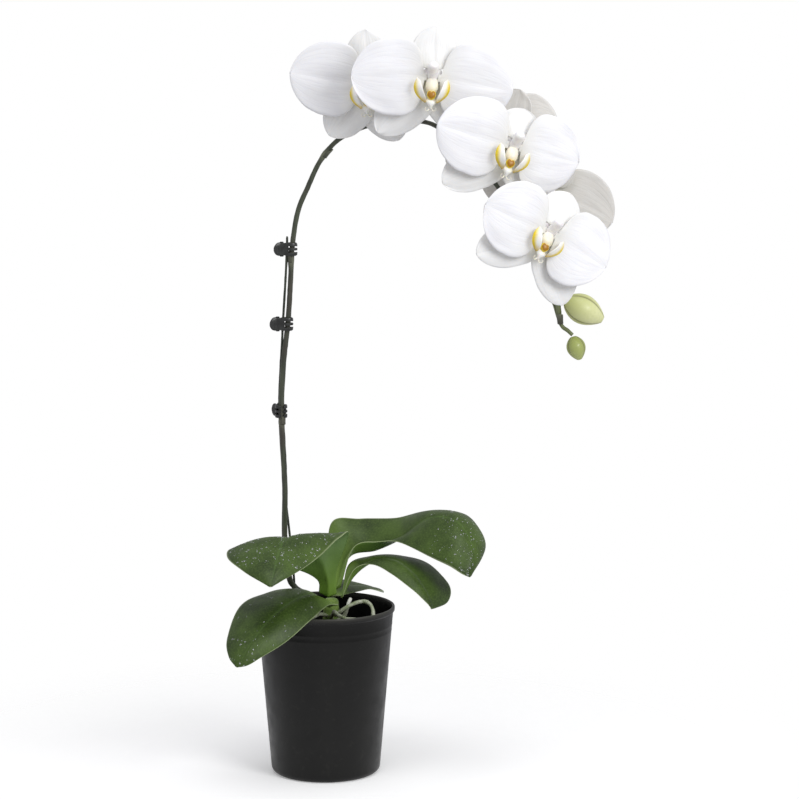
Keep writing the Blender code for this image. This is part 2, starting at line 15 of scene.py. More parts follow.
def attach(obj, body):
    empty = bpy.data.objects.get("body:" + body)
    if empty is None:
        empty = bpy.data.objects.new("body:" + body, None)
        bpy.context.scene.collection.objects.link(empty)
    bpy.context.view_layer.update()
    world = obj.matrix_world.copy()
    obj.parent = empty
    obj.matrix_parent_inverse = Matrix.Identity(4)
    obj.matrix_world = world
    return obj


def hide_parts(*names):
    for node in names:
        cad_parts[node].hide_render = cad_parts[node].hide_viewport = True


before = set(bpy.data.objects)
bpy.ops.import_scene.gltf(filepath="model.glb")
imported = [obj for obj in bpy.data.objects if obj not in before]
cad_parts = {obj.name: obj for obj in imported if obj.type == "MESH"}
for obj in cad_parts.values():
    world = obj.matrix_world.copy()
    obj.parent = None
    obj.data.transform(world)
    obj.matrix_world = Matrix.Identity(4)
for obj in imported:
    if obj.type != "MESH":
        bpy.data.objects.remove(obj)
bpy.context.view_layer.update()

MM = 0.001
SCENE = bpy.context.scene
# With no seed set, noise_vector takes its offsets from the clock, and the bark chips change every run.
noise.seed_set(1)

# ---------------------------------------------------------------- sizes and routes, in millimetres

SPIKE_ROUTE = [
    (-8, 9, 150), (-17, 11, 153), (-26, 12, 158), (-32, 10, 170), (-35, 7, 203), (-34.5, 4, 247),
    (-36, 2, 290), (-37, 2, 314), (-35, 2, 355), (-31, 1, 389), (-28.5, -1, 425), (-27, -3, 453),
    (-22, -4, 484), (-13, -6, 506), (-3, -8, 527), (11, -10, 544), (31, -12, 555), (60, -13, 561),
    (90, -14, 559), (110, -15, 544), (133, -16, 523), (152, -17, 498), (167, -18, 472),
    (182, -19, 438), (194, -20, 409), (200, -21, 391), (206, -22.5, 385.5), (209.7, -23, 382),
]
SPIKE_FOOT_RADIUS, SPIKE_TIP_RADIUS = 2.6, 1.6
SPIKE_NODES = (0.115, 0.245, 0.395, 0.53)  # shares of the spike's length where a bract sheathes it
STALK_RADIUS = 1.6

STAKE_ROUTE = [(-26, 18, 40), (-27, 17, 150), (-30.5, 13, 200), (-36, 9.5, 255), (-38.9, 6.2, 314),
               (-37.6, 4.8, 352), (-36.3, 3.3, 370), (-35.3, 1, 389), (-32.8, -2, 425),
               (-31.3, -3, 453), (-31.1, -3, 464)]
STAKE_RADIUS = 1.0

# Each clip: height, the spike's place there, and the bearing of its pin seen from the spike, degrees.
CLIPS = {
    "clip_top": (453, (-27, -3), 180),
    "clip_middle": (389, (-31, 1), 180),
    "clip_bottom": (314, (-37, 2), 104),
}
PIN_TO_SPIKE = 8.7
CLIP_HEIGHT = 11.0

# Leaf stations from base to tip: left margin, midrib and right margin, facing along the growth.
LEAVES = {
    "leaf_front": [
        ((10, -9, 157), (3, -11, 155), (-5, -8, 158)),
        ((10, -15, 178), (2, -21, 174), (-7, -14, 171)),
        ((21, -34, 214), (-7, -44, 199), (-29, -30, 185)),
        ((13, -60, 215), (-29, -68, 216), (-72, -55, 205)),
        ((-3, -88, 204), (-35, -92, 209), (-79, -80, 203)),
        ((-21, -108, 195), (-38, -112, 198), (-64, -106, 196)),
        ((-41, -124, 186), (-41, -124, 186), (-41, -124, 186)),
    ],
    "leaf_low_left": [
        ((12, -13, 149), (4, -16, 147), (-6, -12, 149)),
        ((2, -38, 152), (-10, -30, 160), (-23, -10, 161)),
        ((-13, -67, 144), (-26, -50, 159), (-48, -22, 161)),
        ((-30, -82, 132), (-44, -72, 148), (-71, -42, 153)),
        ((-50, -92, 121), (-59, -88, 131), (-80, -70, 132)),
        ((-61, -96, 115), (-66, -95, 119), (-78, -86, 120)),
        ((-71, -96, 113), (-71, -96, 113), (-71, -96, 113)),
    ],
    "leaf_high_right": [
        ((4, 13, 162), (9, 9, 157), (13, 5, 160)),
        ((4, 24, 212), (21, 10, 186), (24, 0, 195)),
        ((30, 28, 216), (44, 4, 193), (44, -6, 202)),
        ((61, 20, 218), (66, -4, 205), (64, -20, 204)),
        ((90, 12, 226), (90, -16, 224), (88, -44, 197)),
        ((122, -2, 224), (112, -32, 224), (106, -60, 191)),
        ((137, -28, 203), (125, -50, 205), (117, -64, 185)),
        ((123, -62, 182), (123, -62, 182), (123, -62, 182)),
    ],
    "leaf_mid_right": [
        ((15, 2, 155), (14, -1, 152), (15, -6, 154)),
        ((20, 5, 180), (25, -4, 172), (25, -10, 178)),
        ((38, 10, 186), (41, -9, 185), (41, -19, 185)),
        ((63, 8, 187), (59, -18, 188), (58, -36, 179)),
        ((88, -6, 183), (75, -32, 180), (74, -50, 170)),
        ((106, -22, 168), (86, -46, 167), (84, -58, 162)),
        ((105, -36, 156), (90, -52, 159), (88, -58, 158)),
        ((91, -54, 153), (91, -54, 153), (91, -54, 153)),
    ],
    "leaf_back": [
        ((0, 16, 153), (5, 15, 150), (12, 14, 151)),
        ((2, 34, 160), (14, 32, 155), (24, 26, 151)),
        ((10, 60, 156), (26, 56, 150), (37, 50, 149)),
        ((28, 82, 147), (39, 78, 144), (48, 70, 144)),
        ((50, 92, 138), (50, 92, 138), (50, 92, 138)),
    ],
}
LEAF_THICKNESS = 1.6
LEAF_ROWS, LEAF_HALF_COLUMNS = 72, 14
LEAF_BULGE = 0.045  # how far each half rises, as a share of the leaf's width
LEAF_TIP_AT = 0.992  # the last row stops just short of the point, and its rim closes the tip
# Water drops on a leaf: how many, and the first and last share of its length that they lie on.
WATER_DROPS = {
    "leaf_front": (330, 0.3, 0.82),
    "leaf_high_right": (150, 0.6, 0.95),
    "leaf_low_left": (60, 0.2, 0.95),
}

# Aerial roots that grow from the stem, each ending just above the mix.
ROOTS = {
    "arch": [(6, -2, 138), (10, -14, 140), (16, -20, 146), (27, -17, 151), (35, -17, 152),
             (40, -21, 149), (42, -26, 141), (42, -28, 124.5)],
    "front": [(5, -2, 134), (8, -16, 143), (12, -28, 142.5), (20, -41, 142), (32, -40, 141),
              (41, -33, 138), (44, -28, 125)],
    "pale_tip": [(7, 1, 132), (14, -4, 134), (18, -8, 141), (20, -8, 148), (22, -6, 153)],
    "left": [(2, -1, 136), (-4, -16, 141), (-8, -34, 143), (-16, -42, 140), (-28, -38, 130)],
}
ROOT_RADIUS = 1.6
STEM_AT = (5.0, 3.0)
STEM_RADIUS = 6.5
STEM_FOOT, STEM_TOP = 123.4, 151.0

# Pot and mix.
POT_HEIGHT = 145.5
RIM_RADIUS = 60.0
RIM_DEPTH = 4.5
WALL_TOP_RADIUS, WALL_FOOT_RADIUS = 58.6, 46.8
WALL = 1.3
FOOT_CURVE = 5.5
BEADS_BELOW_RIM = (15.5, 21.0)
DRAIN_HOLES, DRAIN_RADIUS, DRAIN_CIRCLE = 6, 4.0, 28.0
MIX_TOP = 120.0
BARK_CHIPS = 420

# Flowers: centre, stalk's foot on the spike, turn, nod and roll in degrees, size, and the degrees
# between each lower sepal and straight down. Turn 0 faces -Y, and a positive turn +X.
FLOWERS = {
    "flower_1": ((38, -27, 592), (26, -12, 553), -7, 4, 0, 0.97, 24),
    "flower_2": ((91, -59, 598), (74, -13.5, 561), 0, 4, 4, 1.0, 40),
    "flower_3": ((157, -77, 542), (127, -15.7, 529), 10, 2, 20, 1.0, 42),
    "flower_4": ((186, -94, 473), (163, -17.5, 479), 14, 0, 32, 0.96, 42),
    "flower_5": ((154, 16, 553), (104, -14.7, 549), 172, 6, -20, 0.88, 40),
    "flower_6": ((189, 22, 502), (156, -17.2, 491), 168, 4, -26, 0.95, 40),
}
# How single petals differ: degrees turned anticlockwise as the flower is looked at, share of length.
BLADE_CHANGES = {
    ("flower_1", "sepal_dorsal"): (4, 1.14),
    ("flower_1", "sepal_left"): (-14, 0.88),
    ("flower_1", "petal_left"): (-8, 1.02),
    ("flower_1", "petal_right"): (-3, 0.7),
    ("flower_1", "sepal_right"): (3, 0.84),
    ("flower_2", "petal_left"): (3, 1.0),
    ("flower_2", "petal_right"): (-6, 1.0),
    ("flower_3", "sepal_dorsal"): (0, 0.75),
    ("flower_3", "sepal_right"): (8, 0.8),
    ("flower_3", "petal_left"): (4, 1.0),
    ("flower_3", "petal_right"): (6, 0.82),
    ("flower_4", "sepal_dorsal"): (0, 0.93),
    ("flower_4", "petal_left"): (9, 0.94),
    ("flower_4", "petal_right"): (0, 0.85),
    ("flower_4", "sepal_right"): (3, 1.0),
    ("flower_5", "petal_left"): (-28, 0.75),
    ("flower_6", "sepal_right"): (0, 0.82),
}
PETAL_LENGTH, PETAL_WIDTH = 62.0, 64.0
DORSAL_LENGTH, DORSAL_WIDTH = 36.0, 37.0
LATERAL_LENGTH, LATERAL_WIDTH = 60.0, 40.0
PETAL_THICKNESS = 0.8
PETAL_START = 4.5  # from the flower's centre to the foot of each petal
PETAL_ROWS, PETAL_COLUMNS = 34, 30
CLAW_HALF_WIDTH = 3.0
COLUMN_TILT = -48.0  # degrees, up from the way the flower faces

# Buds: base, tip, where the stalk leaves the spike, and the widest radius.
BUDS = {
    "bud_large": ((203, -26, 412), (235, -26, 395), (199.5, -21, 392.5), 12.5),
    "bud_small": ((210, -23, 381), (216, -23, 361), (206, -22.5, 385.5), 8.0),
}

# The camera stands in front of the plant, a little above its middle, and looks slightly down.
CAMERA_AT = (0.064, -2.2, 0.61)
CAMERA_PITCH = 82.6  # degrees, where 90 looks level
CAMERA_LENS = 117.06

# The white floor fades out between these distances from the pot, in metres.
FLOOR_FADE = (0.14, 0.45)
# Each soft light: place, aim, size in metres and power in watts.
LIGHTS = {
    "top_softbox": ((-0.1, -0.9, 2.4), (0.05, 0, 0.35), 1.6, 16),
    "front_softbox": ((1.0, -1.2, 1.1), (0.08, 0, 0.45), 0.8, 12.5),
}
AMBIENT = 0.55  # how much of the backdrop's white reaches the plant as light

# ---------------------------------------------------------------- materials


def linear(channel):
    return channel / 12.92 if channel <= 0.04045 else ((channel + 0.055) / 1.055) ** 2.4


def rgb(hex_colour):
    """An sRGB hex colour as linear RGBA."""
    return (*(linear(int(hex_colour[i:i + 2], 16) / 255) for i in (1, 3, 5)), 1.0)


def add_node(tree, kind, values=None, links=None, **settings):
    """One shader node: its settings, its sockets' values, and what its sockets are linked from."""
    made = tree.nodes.new("ShaderNode" + kind)
    for name, value in settings.items():
        setattr(made, name, value)
    for name, value in (values or {}).items():
        made.inputs[name].default_value = value
    for name, source in (links or {}).items():
        tree.links.new(source, made.inputs[name])
    return made


# Where the Mix node keeps the sockets of its colour form.
MIX_A, MIX_B, MIX_RESULT = 6, 7, 2


def blend_colours(tree, factor, first, second):
    """The colour output of a mix; first and second are hex colours or other colour outputs."""
    made = add_node(tree, "Mix", data_type="RGBA")
    for socket, colour in ((MIX_A, first), (MIX_B, second)):
        if isinstance(colour, str):
            made.inputs[socket].default_value = rgb(colour)
        else:
            tree.links.new(colour, made.inputs[socket])
    tree.links.new(factor, made.inputs["Factor"])
    return made.outputs[MIX_RESULT]


def ramp(tree, source, low, high, start=0.0, end=1.0):
    """source, stretched so that low gives start and high gives end, and clamped."""
    made = add_node(tree, "MapRange", {"From Min": low, "From Max": high, "To Min": start,
                                       "To Max": end}, {"Value": source})
    return made.outputs["Result"]


def grain(tree, size_mm, detail=3.0, stretch=(1, 1, 1), roughness=0.5):
    """Noise over the object's own place, its features about size_mm across."""
    place = add_node(tree, "TexCoord").outputs["Object"]
    scaled = add_node(tree, "Mapping", {"Scale": stretch}, {"Vector": place})
    made = add_node(tree, "TexNoise", {"Scale": 1 / (size_mm * MM), "Detail": detail,
                                       "Roughness": roughness}, {"Vector": scaled.outputs["Vector"]})
    return made.outputs["Fac"]


def attribute(tree, name):
    return add_node(tree, "Attribute", attribute_name=name).outputs["Fac"]


def math_node(tree, operation, first, second=None):
    made = add_node(tree, "Math", operation=operation)
    for socket, value in enumerate((first, second)):
        if isinstance(value, (int, float)):
            made.inputs[socket].default_value = value
        elif value is not None:
            tree.links.new(value, made.inputs[socket])
    return made.outputs[0]


def new_material(name, **values):
    """A Principled material with these socket values, as (material, tree, shader)."""
    made = bpy.data.materials.new(name)
    made.use_nodes = True
    shader = made.node_tree.nodes["Principled BSDF"]
    for socket, value in values.items():
        shader.inputs[socket.replace("_", " ")].default_value = value
    return made, made.node_tree, shader


def bump(tree, shader, height, distance_mm, strength=1.0):
    made = add_node(tree, "Bump", {"Strength": strength, "Distance": distance_mm * MM}, {"Height": height})
    tree.links.new(made.outputs["Normal"], shader.inputs["Normal"])


def fan_veins(tree, across, along, count, length):
    """Uneven soft lines that run out from a petal's or leaf's foot, about count from side to side."""
    spread = add_node(tree, "CombineXYZ", None, {"X": math_node(tree, "MULTIPLY", across, count),
                                                 "Y": math_node(tree, "MULTIPLY", along, length)})
    lines = add_node(tree, "TexNoise", {"Scale": 1.0, "Detail": 3.0, "Roughness": 0.55},
                     {"Vector": spread.outputs["Vector"]}).outputs["Fac"]
    fade = ramp(tree, along, 0.02, 0.25)
    return math_node(tree, "MULTIPLY", ramp(tree, lines, 0.45, 0.72), fade)


def petal_tissue(kind, bright, soft, vein):
    """Living petal, grown not made: soft and velvety, with faint watery veins and a cool shade."""
    made, tree, shader = new_material(f"velvety white {kind}", Roughness=0.55, Subsurface_Weight=0.25,
                                      Subsurface_Radius=(1.0, 0.9, 0.8), Subsurface_Scale=0.0015,
                                      Sheen_Weight=0.12, Sheen_Roughness=0.4, Specular_IOR_Level=0.35)
    across, along = attribute(tree, "across"), attribute(tree, "along")
    veins = fan_veins(tree, across, along, count=13, length=2.2)
    cloud = ramp(tree, grain(tree, 22, 3.0), 0.35, 0.7)
    white = blend_colours(tree, math_node(tree, "MULTIPLY", cloud, 0.5), bright, soft)
    veined = blend_colours(tree, math_node(tree, "MULTIPLY", veins, 0.25), white, vein)
    foot = ramp(tree, attribute(tree, "olive"), 0.0, 1.0)
    tree.links.new(blend_colours(tree, foot, veined, "#A8A67A"), shader.inputs["Base Color"])
    sparkle = grain(tree, 0.8, 2.0)
    relief = math_node(tree, "ADD", math_node(tree, "MULTIPLY", veins, -0.5),
                       math_node(tree, "MULTIPLY", sparkle, 0.3))
    bump(tree, shader, relief, 0.3, 0.6)
    return made


def leaf_top():
    """Thick cuticle over green tissue: a waxy gloss on dark green, with long veins, and pale margins
    lightened further by a painted highlight.
    """
    made, tree, shader = new_material("waxy leaf cuticle, upper side", Roughness=0.42, Coat_Weight=0.12,
                                      Coat_Roughness=0.34, Specular_IOR_Level=0.28)
    across, along = attribute(tree, "across"), attribute(tree, "along")
    veins = fan_veins(tree, across, along, count=24, length=1.6)
    cloud = ramp(tree, grain(tree, 24, 4.0), 0.36, 0.68)
    speckle = ramp(tree, grain(tree, 1.6, 3.0), 0.45, 0.75)
    green = blend_colours(tree, cloud, "#2D4013", "#485F24")
    green = blend_colours(tree, math_node(tree, "MULTIPLY", speckle, 0.35), green, "#667D3B")
    green = blend_colours(tree, math_node(tree, "MULTIPLY", veins, 0.22), green, "#2A3A15")
    foot = ramp(tree, along, 0.22, 0.03)
    green = blend_colours(tree, foot, green, "#86A64E")
    # A pale band along the margin: the margin's own paler tissue together with a painted highlight.
    edge = ramp(tree, math_node(tree, "ABSOLUTE", across), 0.965, 0.995)
    green = blend_colours(tree, math_node(tree, "MULTIPLY", edge, 0.75), green, "#A9B78A")
    rib = ramp(tree, math_node(tree, "ABSOLUTE", across), 0.05, 0.0)
    green = blend_colours(tree, math_node(tree, "MULTIPLY", rib, 0.35), green, "#5B7A38")
    tree.links.new(green, shader.inputs["Base Color"])
    tree.links.new(ramp(tree, grain(tree, 9, 4.0), 0.3, 0.7, 0.42, 0.58), shader.inputs["Roughness"])
    relief = math_node(tree, "ADD", math_node(tree, "MULTIPLY", veins, -0.12), grain(tree, 1.4, 3.0))
    bump(tree, shader, relief, 0.22, 0.6)
    return made


def leaf_under():
    """The leaf's paler underside: a thinner wax, matte, with a lighter green and the same long veins."""
    made, tree, shader = new_material("waxy leaf cuticle, underside", Roughness=0.5, Coat_Weight=0.1,
                                      Coat_Roughness=0.4)
    across, along = attribute(tree, "across"), attribute(tree, "along")
    veins = fan_veins(tree, across, along, count=24, length=1.6)
    cloud = ramp(tree, grain(tree, 18, 4.0), 0.35, 0.7)
    green = blend_colours(tree, cloud, "#4C6A33", "#5F7F40")
    green = blend_colours(tree, math_node(tree, "MULTIPLY", veins, 0.3), green, "#3F5A2B")
    foot = ramp(tree, along, 0.34, 0.08)
    green = blend_colours(tree, foot, green, "#76993C")
    tree.links.new(green, shader.inputs["Base Color"])
    bump(tree, shader, grain(tree, 1.2, 3.0), 0.15, 0.5)
    return made


def leaf_margin():
    """The leaf's cut-glass edge, where the wax of both sides meets: a thin pale line, partly a painted
    highlight.
    """
    made, tree, shader = new_material("waxy leaf cuticle, pale margin with painted highlight", Roughness=0.4, Coat_Weight=0.2)
    tone = blend_colours(tree, grain(tree, 6, 2.0), "#8FA268", "#B9C49A")
    tree.links.new(tone, shader.inputs["Base Color"])
    return made


def water():
    """Water left by misting: clear round drops that hold a point of light."""
    made, _, _ = new_material("clear water drop", Base_Color=rgb("#F7FBFB"), Roughness=0.04, IOR=1.333,
                              Transmission_Weight=0.75)
    return made


def spike_skin():
    """Smooth waxy stalk skin: dark grey-green with fine length-wise streaks and paler nodes."""
    made, tree, shader = new_material("waxy flower stalk skin", Roughness=0.42, Coat_Weight=0.15,
                                      Coat_Roughness=0.35)
    streaks = ramp(tree, grain(tree, 3.0, 3.0, (1, 1, 0.12)), 0.35, 0.7)
    tone = blend_colours(tree, streaks, "#31362A", "#4C5240")
    flush = ramp(tree, grain(tree, 40, 2.0), 0.45, 0.65)
    tone = blend_colours(tree, math_node(tree, "MULTIPLY", flush, 0.45), tone, "#4B3E3C")
    young = attribute(tree, "young")
    tone = blend_colours(tree, young, tone, "#7E8A55")
    pale = attribute(tree, "pale")
    tone = blend_colours(tree, pale, tone, "#8D9078")
    tree.links.new(tone, shader.inputs["Base Color"])
    bump(tree, shader, grain(tree, 1.2, 3.0, (1, 1, 0.25)), 0.15, 0.5)
    return made


def root_velamen():
    """Spongy dry root skin over green: silvery felt with green showing through, and a bright tip."""
    made, tree, shader = new_material("dry velamen root and green stem skin", Roughness=0.7,
                                      Sheen_Weight=0.1)
    patches = ramp(tree, grain(tree, 5, 4.0), 0.4, 0.62)
    felt = blend_colours(tree, patches, "#B9BDA8", "#7E8B62")
    flecks = ramp(tree, grain(tree, 1.1, 3.0), 0.5, 0.75)
    felt = blend_colours(tree, math_node(tree, "MULTIPLY", flecks, 0.6), felt, "#DAD9CC")
    felt = blend_colours(tree, attribute(tree, "pale"), felt, "#F2F1EA")
    stem = blend_colours(tree, ramp(tree, grain(tree, 6, 3.0), 0.35, 0.7), "#5E7A32", "#7B9440")
    tree.links.new(blend_colours(tree, attribute(tree, "young"), felt, stem), shader.inputs["Base Color"])
    bump(tree, shader, grain(tree, 0.9, 4.0), 0.35, 0.7)
    return made


def pine_bark():
    """Damp graded pine bark: torn chips, nearly black where wet, with brown corky faces."""
    made, tree, shader = new_material("damp pine bark chips", Roughness=0.82, Specular_IOR_Level=0.35)
    layers = grain(tree, 2.2, 5.0, (1, 1, 3))
    tone = blend_colours(tree, ramp(tree, layers, 0.35, 0.7), "#17110D", "#3A281C")
    tone = blend_colours(tree, math_node(tree, "MULTIPLY", attribute(tree, "pale"), 0.55), tone, "#5A4230")
    tree.links.new(tone, shader.inputs["Base Color"])
    bump(tree, shader, layers, 0.8, 0.9)
    return made


def pot_plastic():
    """Thin injection-moulded polypropylene: black with a soft satin sheen, faint flow and scuff marks, and a
    painted highlight along the rim's top.
    """
    made, tree, shader = new_material("moulded black polypropylene", Roughness=0.36,
                                      Specular_IOR_Level=0.26)
    flow = ramp(tree, grain(tree, 30, 4.0, (1, 1, 0.08)), 0.35, 0.7)
    tone = blend_colours(tree, flow, "#080807", "#0D0D0B")
    dust = ramp(tree, grain(tree, 5, 6.0), 0.58, 0.8)
    tone = blend_colours(tree, math_node(tree, "MULTIPLY", dust, 0.3), tone, "#2A2926")
    # The top of the rim is painted lighter: a painted highlight.
    tone = blend_colours(tree, math_node(tree, "MULTIPLY", attribute(tree, "rim_top_highlight"), 0.7), tone, "#55544F")
    tree.links.new(tone, shader.inputs["Base Color"])
    tree.links.new(ramp(tree, grain(tree, 12, 5.0), 0.3, 0.7, 0.3, 0.46), shader.inputs["Roughness"])
    skin = grain(tree, 0.9, 3.0)
    wavy = grain(tree, 45, 2.0, (1, 1, 0.25))
    bump(tree, shader, math_node(tree, "ADD", math_node(tree, "MULTIPLY", skin, 0.12), wavy), 0.5, 0.35)
    return made


def clip_plastic():
    """Injection-moulded ABS: black, glossy on its faces, with a fine orange-peel skin."""
    made, tree, shader = new_material("moulded black ABS", Roughness=0.3, Specular_IOR_Level=0.55)
    tone = blend_colours(tree, ramp(tree, grain(tree, 4, 4.0), 0.4, 0.7), "#232423", "#343634")
    tree.links.new(tone, shader.inputs["Base Color"])
    tree.links.new(ramp(tree, grain(tree, 3, 3.0), 0.3, 0.7, 0.24, 0.4), shader.inputs["Roughness"])
    bump(tree, shader, grain(tree, 0.6, 2.0), 0.06, 0.5)
    return made


def coated_wire():
    """Steel wire dip-coated in PVC: dark green, satin, slightly uneven where the coat ran."""
    made, tree, shader = new_material("PVC-coated steel wire", Roughness=0.4)
    tone = blend_colours(tree, ramp(tree, grain(tree, 6, 3.0), 0.4, 0.7), "#23291F", "#3B4233")
    tree.links.new(tone, shader.inputs["Base Color"])
    bump(tree, shader, grain(tree, 2.5, 2.0, (1, 1, 0.4)), 0.2, 0.5)
    return made


def lip_tissue():
    """Firm waxy lip: cream white, yellow and faintly freckled towards its edges, with an ochre callus."""
    made, tree, shader = new_material("waxy lip tissue", Roughness=0.38, Subsurface_Weight=0.15,
                                      Subsurface_Radius=(1.0, 0.7, 0.4), Subsurface_Scale=0.001,
                                      Coat_Weight=0.2, Coat_Roughness=0.25)
    yellow, red = attribute(tree, "yellow"), attribute(tree, "red")
    tone = blend_colours(tree, yellow, "#FAF8F2", "#F0D61E")
    bars = ramp(tree, grain(tree, 1.5, 2.0, (1, 1, 2.5)), 0.42, 0.55)
    freckles = math_node(tree, "MULTIPLY", math_node(tree, "MULTIPLY", bars, yellow), 0.15)
    tone = blend_colours(tree, freckles, tone, "#A8701C")
    tone = blend_colours(tree, red, tone, "#A8740F")
    tree.links.new(tone, shader.inputs["Base Color"])
    bump(tree, shader, grain(tree, 0.8, 2.0), 0.12, 0.5)
    return made


def column_tissue():
    """Waxy white column: smooth and dense, a little translucent, with a clear highlight."""
    made, tree, shader = new_material("waxy white column tissue", Roughness=0.32, Subsurface_Weight=0.2,
                                      Subsurface_Radius=(1.0, 0.9, 0.8), Subsurface_Scale=0.001,
                                      Coat_Weight=0.25, Coat_Roughness=0.2)
    tone = blend_colours(tree, ramp(tree, grain(tree, 3, 2.0), 0.4, 0.7), "#FBFAF8", "#EFE9EE")
    tone = blend_colours(tree, attribute(tree, "yellow"), tone, "#E9D9A0")
    tree.links.new(tone, shader.inputs["Base Color"])
    return made


def bud_skin():
    """Closed sepals round a bud: pale yellow-green wax with fine veins, darker along each seam."""
    made, tree, shader = new_material("waxy bud skin", Roughness=0.42, Subsurface_Weight=0.12,
                                      Subsurface_Radius=(1.0, 1.0, 0.5), Subsurface_Scale=0.001,
                                      Coat_Weight=0.12)
    along = attribute(tree, "along")
    tone = blend_colours(tree, ramp(tree, along, 0.75, 0.1), "#EDEEB8", "#C6CB84")
    streaks = ramp(tree, grain(tree, 2.0, 3.0), 0.4, 0.7)
    tone = blend_colours(tree, math_node(tree, "MULTIPLY", streaks, 0.35), tone, "#D3D795")
    tone = blend_colours(tree, attribute(tree, "young"), tone, "#A0AC5C")
    tone = blend_colours(tree, attribute(tree, "seam"), tone, "#6C6A3A")
    tree.links.new(tone, shader.inputs["Base Color"])
    bump(tree, shader, grain(tree, 0.9, 3.0), 0.12, 0.5)
    return made


def white_studio_floor():
    """Matte white-painted board, which fades out into the white backdrop round it."""
    made, tree, shader = new_material("matte white paint", Roughness=0.9, Specular_IOR_Level=0.1,
                                      Emission_Color=rgb("#FFFFFF"), Emission_Strength=0.22)
    tone = blend_colours(tree, grain(tree, 60, 2.0), "#F8F8F8", "#FBFBFB")
    tree.links.new(tone, shader.inputs["Base Color"])
    place = add_node(tree, "TexCoord").outputs["Object"]
    reach = add_node(tree, "VectorMath", None, {0: place}, operation="LENGTH").outputs["Value"]
    tree.links.new(ramp(tree, reach, FLOOR_FADE[1], FLOOR_FADE[0]), shader.inputs["Alpha"])
    return made


PETAL = petal_tissue("petal tissue, upper side", "#F9F9FB", "#EFEEF3", "#E2E0EA")
SEPAL = petal_tissue("sepal tissue, upper side", "#F8F8F7", "#F0EFED", "#E2E1E0")
# A darker grey copy of the petal tissue for every blade's underside: painted shade for backs turned from the
# light.
SHADED_PETAL_BACK = petal_tissue("petal tissue, underside in painted shade", "#DEDCD8", "#D3D0CB", "#C4C1BC")
LIP, COLUMN, BUD = lip_tissue(), column_tissue(), bud_skin()
LEAF = (leaf_top(), leaf_under(), leaf_margin(), water())
SPIKE, ROOT, BARK = spike_skin(), root_velamen(), pine_bark()
POT, CLIP, WIRE = pot_plastic(), clip_plastic(), coated_wire()

# ---------------------------------------------------------------- mesh helpers

TRAITS = ("along", "across", "olive", "young", "pale", "rim_top_highlight", "yellow", "red", "seam")


def new_shape():
    """An empty mesh in the making, whose vertices carry the traits that the materials read."""
    shape = bmesh.new()
    for trait in TRAITS:
        shape.verts.layers.float.new(trait)
    return shape


def add_vert(shape, place, **traits):
    vert = shape.verts.new(place)
    for trait, value in traits.items():
        vert[shape.verts.layers.float[trait]] = value
    return vert


def finish_piece(name, shape, materials, node, body="root"):
    """Makes the piece from a shape in millimetres and ties it to the frame."""
    bmesh.ops.scale(shape, vec=(MM, MM, MM), verts=shape.verts)
    mesh = bpy.data.meshes.new(name)
    shape.to_mesh(mesh)
    shape.free()
    mesh.shade_smooth()
    for trait in TRAITS:
        layer = mesh.attributes[trait]
        if all(abs(item.value) < 1e-6 for item in layer.data):
            mesh.attributes.remove(layer)
    for material in materials:
        mesh.materials.append(material)
    made = bpy.data.objects.new(name, mesh)
    SCENE.collection.objects.link(made)
    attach(made, body)
    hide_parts(node)
    return made


def clamp(value):
    return max(0.0, min(1.0, value))


def smooth_route(points, count, end_at=1.0):
    """Catmull-Rom curve through the points, as count evenly parted places up to this share of it."""
    knots = [Vector(p) for p in points]
    knots = [2 * knots[0] - knots[1], *knots, 2 * knots[-1] - knots[-2]]
    spans = len(points) - 1
    found = []
    for i in range(count):
        at = i / (count - 1) * spans * end_at
        k = min(int(at), spans - 1)
        t = at - k
        a, b, c, d = knots[k:k + 4]
        found.append(0.5 * ((2 * b) + (c - a) * t + (2 * a - 5 * b + 4 * c - d) * t ** 2
                            + (3 * b - a - 3 * c + d) * t ** 3))
    return found


def bridge(shape, ring, other, material=0):
    """Quads between two closed rings of vertices."""
    count = len(ring)
    for k in range(count):
        face = shape.faces.new((ring[k], ring[(k + 1) % count], other[(k + 1) % count], other[k]))
        face.material_index = material


def add_tube(shape, places, radii, sides, traits=None, uneven=0.0):
    """A round closed tube along the places; traits(share) gives each ring's traits."""
    count = len(places)
    across = Vector((0.31, 0.95, 0.05))
    previous = None
    for i, (place, radius) in enumerate(zip(places, radii)):
        ahead = (places[min(i + 1, count - 1)] - places[max(i - 1, 0)]).normalized()
        across = (across - ahead * across.dot(ahead)).normalized()
        other = ahead.cross(across)
        values = traits(i / (count - 1)) if traits else {}
        ring = []
        for k in range(sides):
            turn = math.tau * k / sides
            out = across * math.cos(turn) + other * math.sin(turn)
            swell = 1 + uneven * noise.noise((place + out * radius) * 0.25)
            ring.append(add_vert(shape, place + out * radius * swell, **values))
        if previous:
            bridge(shape, previous, ring)
        else:
            shape.faces.new(ring[::-1])
        previous = ring
    shape.faces.new(previous)


def add_turned(shape, profile, steps, placed=Matrix(), traits=None, squash=None):
    """A closed turned solid: profile points (radius, height) from the foot's centre to the top's."""
    rings = []
    for i, (radius, height) in enumerate(profile):
        share = i / (len(profile) - 1)
        ring = []
        for k in range(steps):
            turn = math.tau * k / steps
            reach = radius * (squash(turn, share) if squash else 1)
            values = traits(turn, share) if traits else {}
            place = placed @ Vector((reach * math.cos(turn), reach * math.sin(turn), height))
            ring.append(add_vert(shape, place, **values))
        rings.append(ring)
    for near, far in zip(rings, rings[1:]):
        bridge(shape, near, far)
    shape.faces.new(rings[0][::-1])
    shape.faces.new(rings[-1])


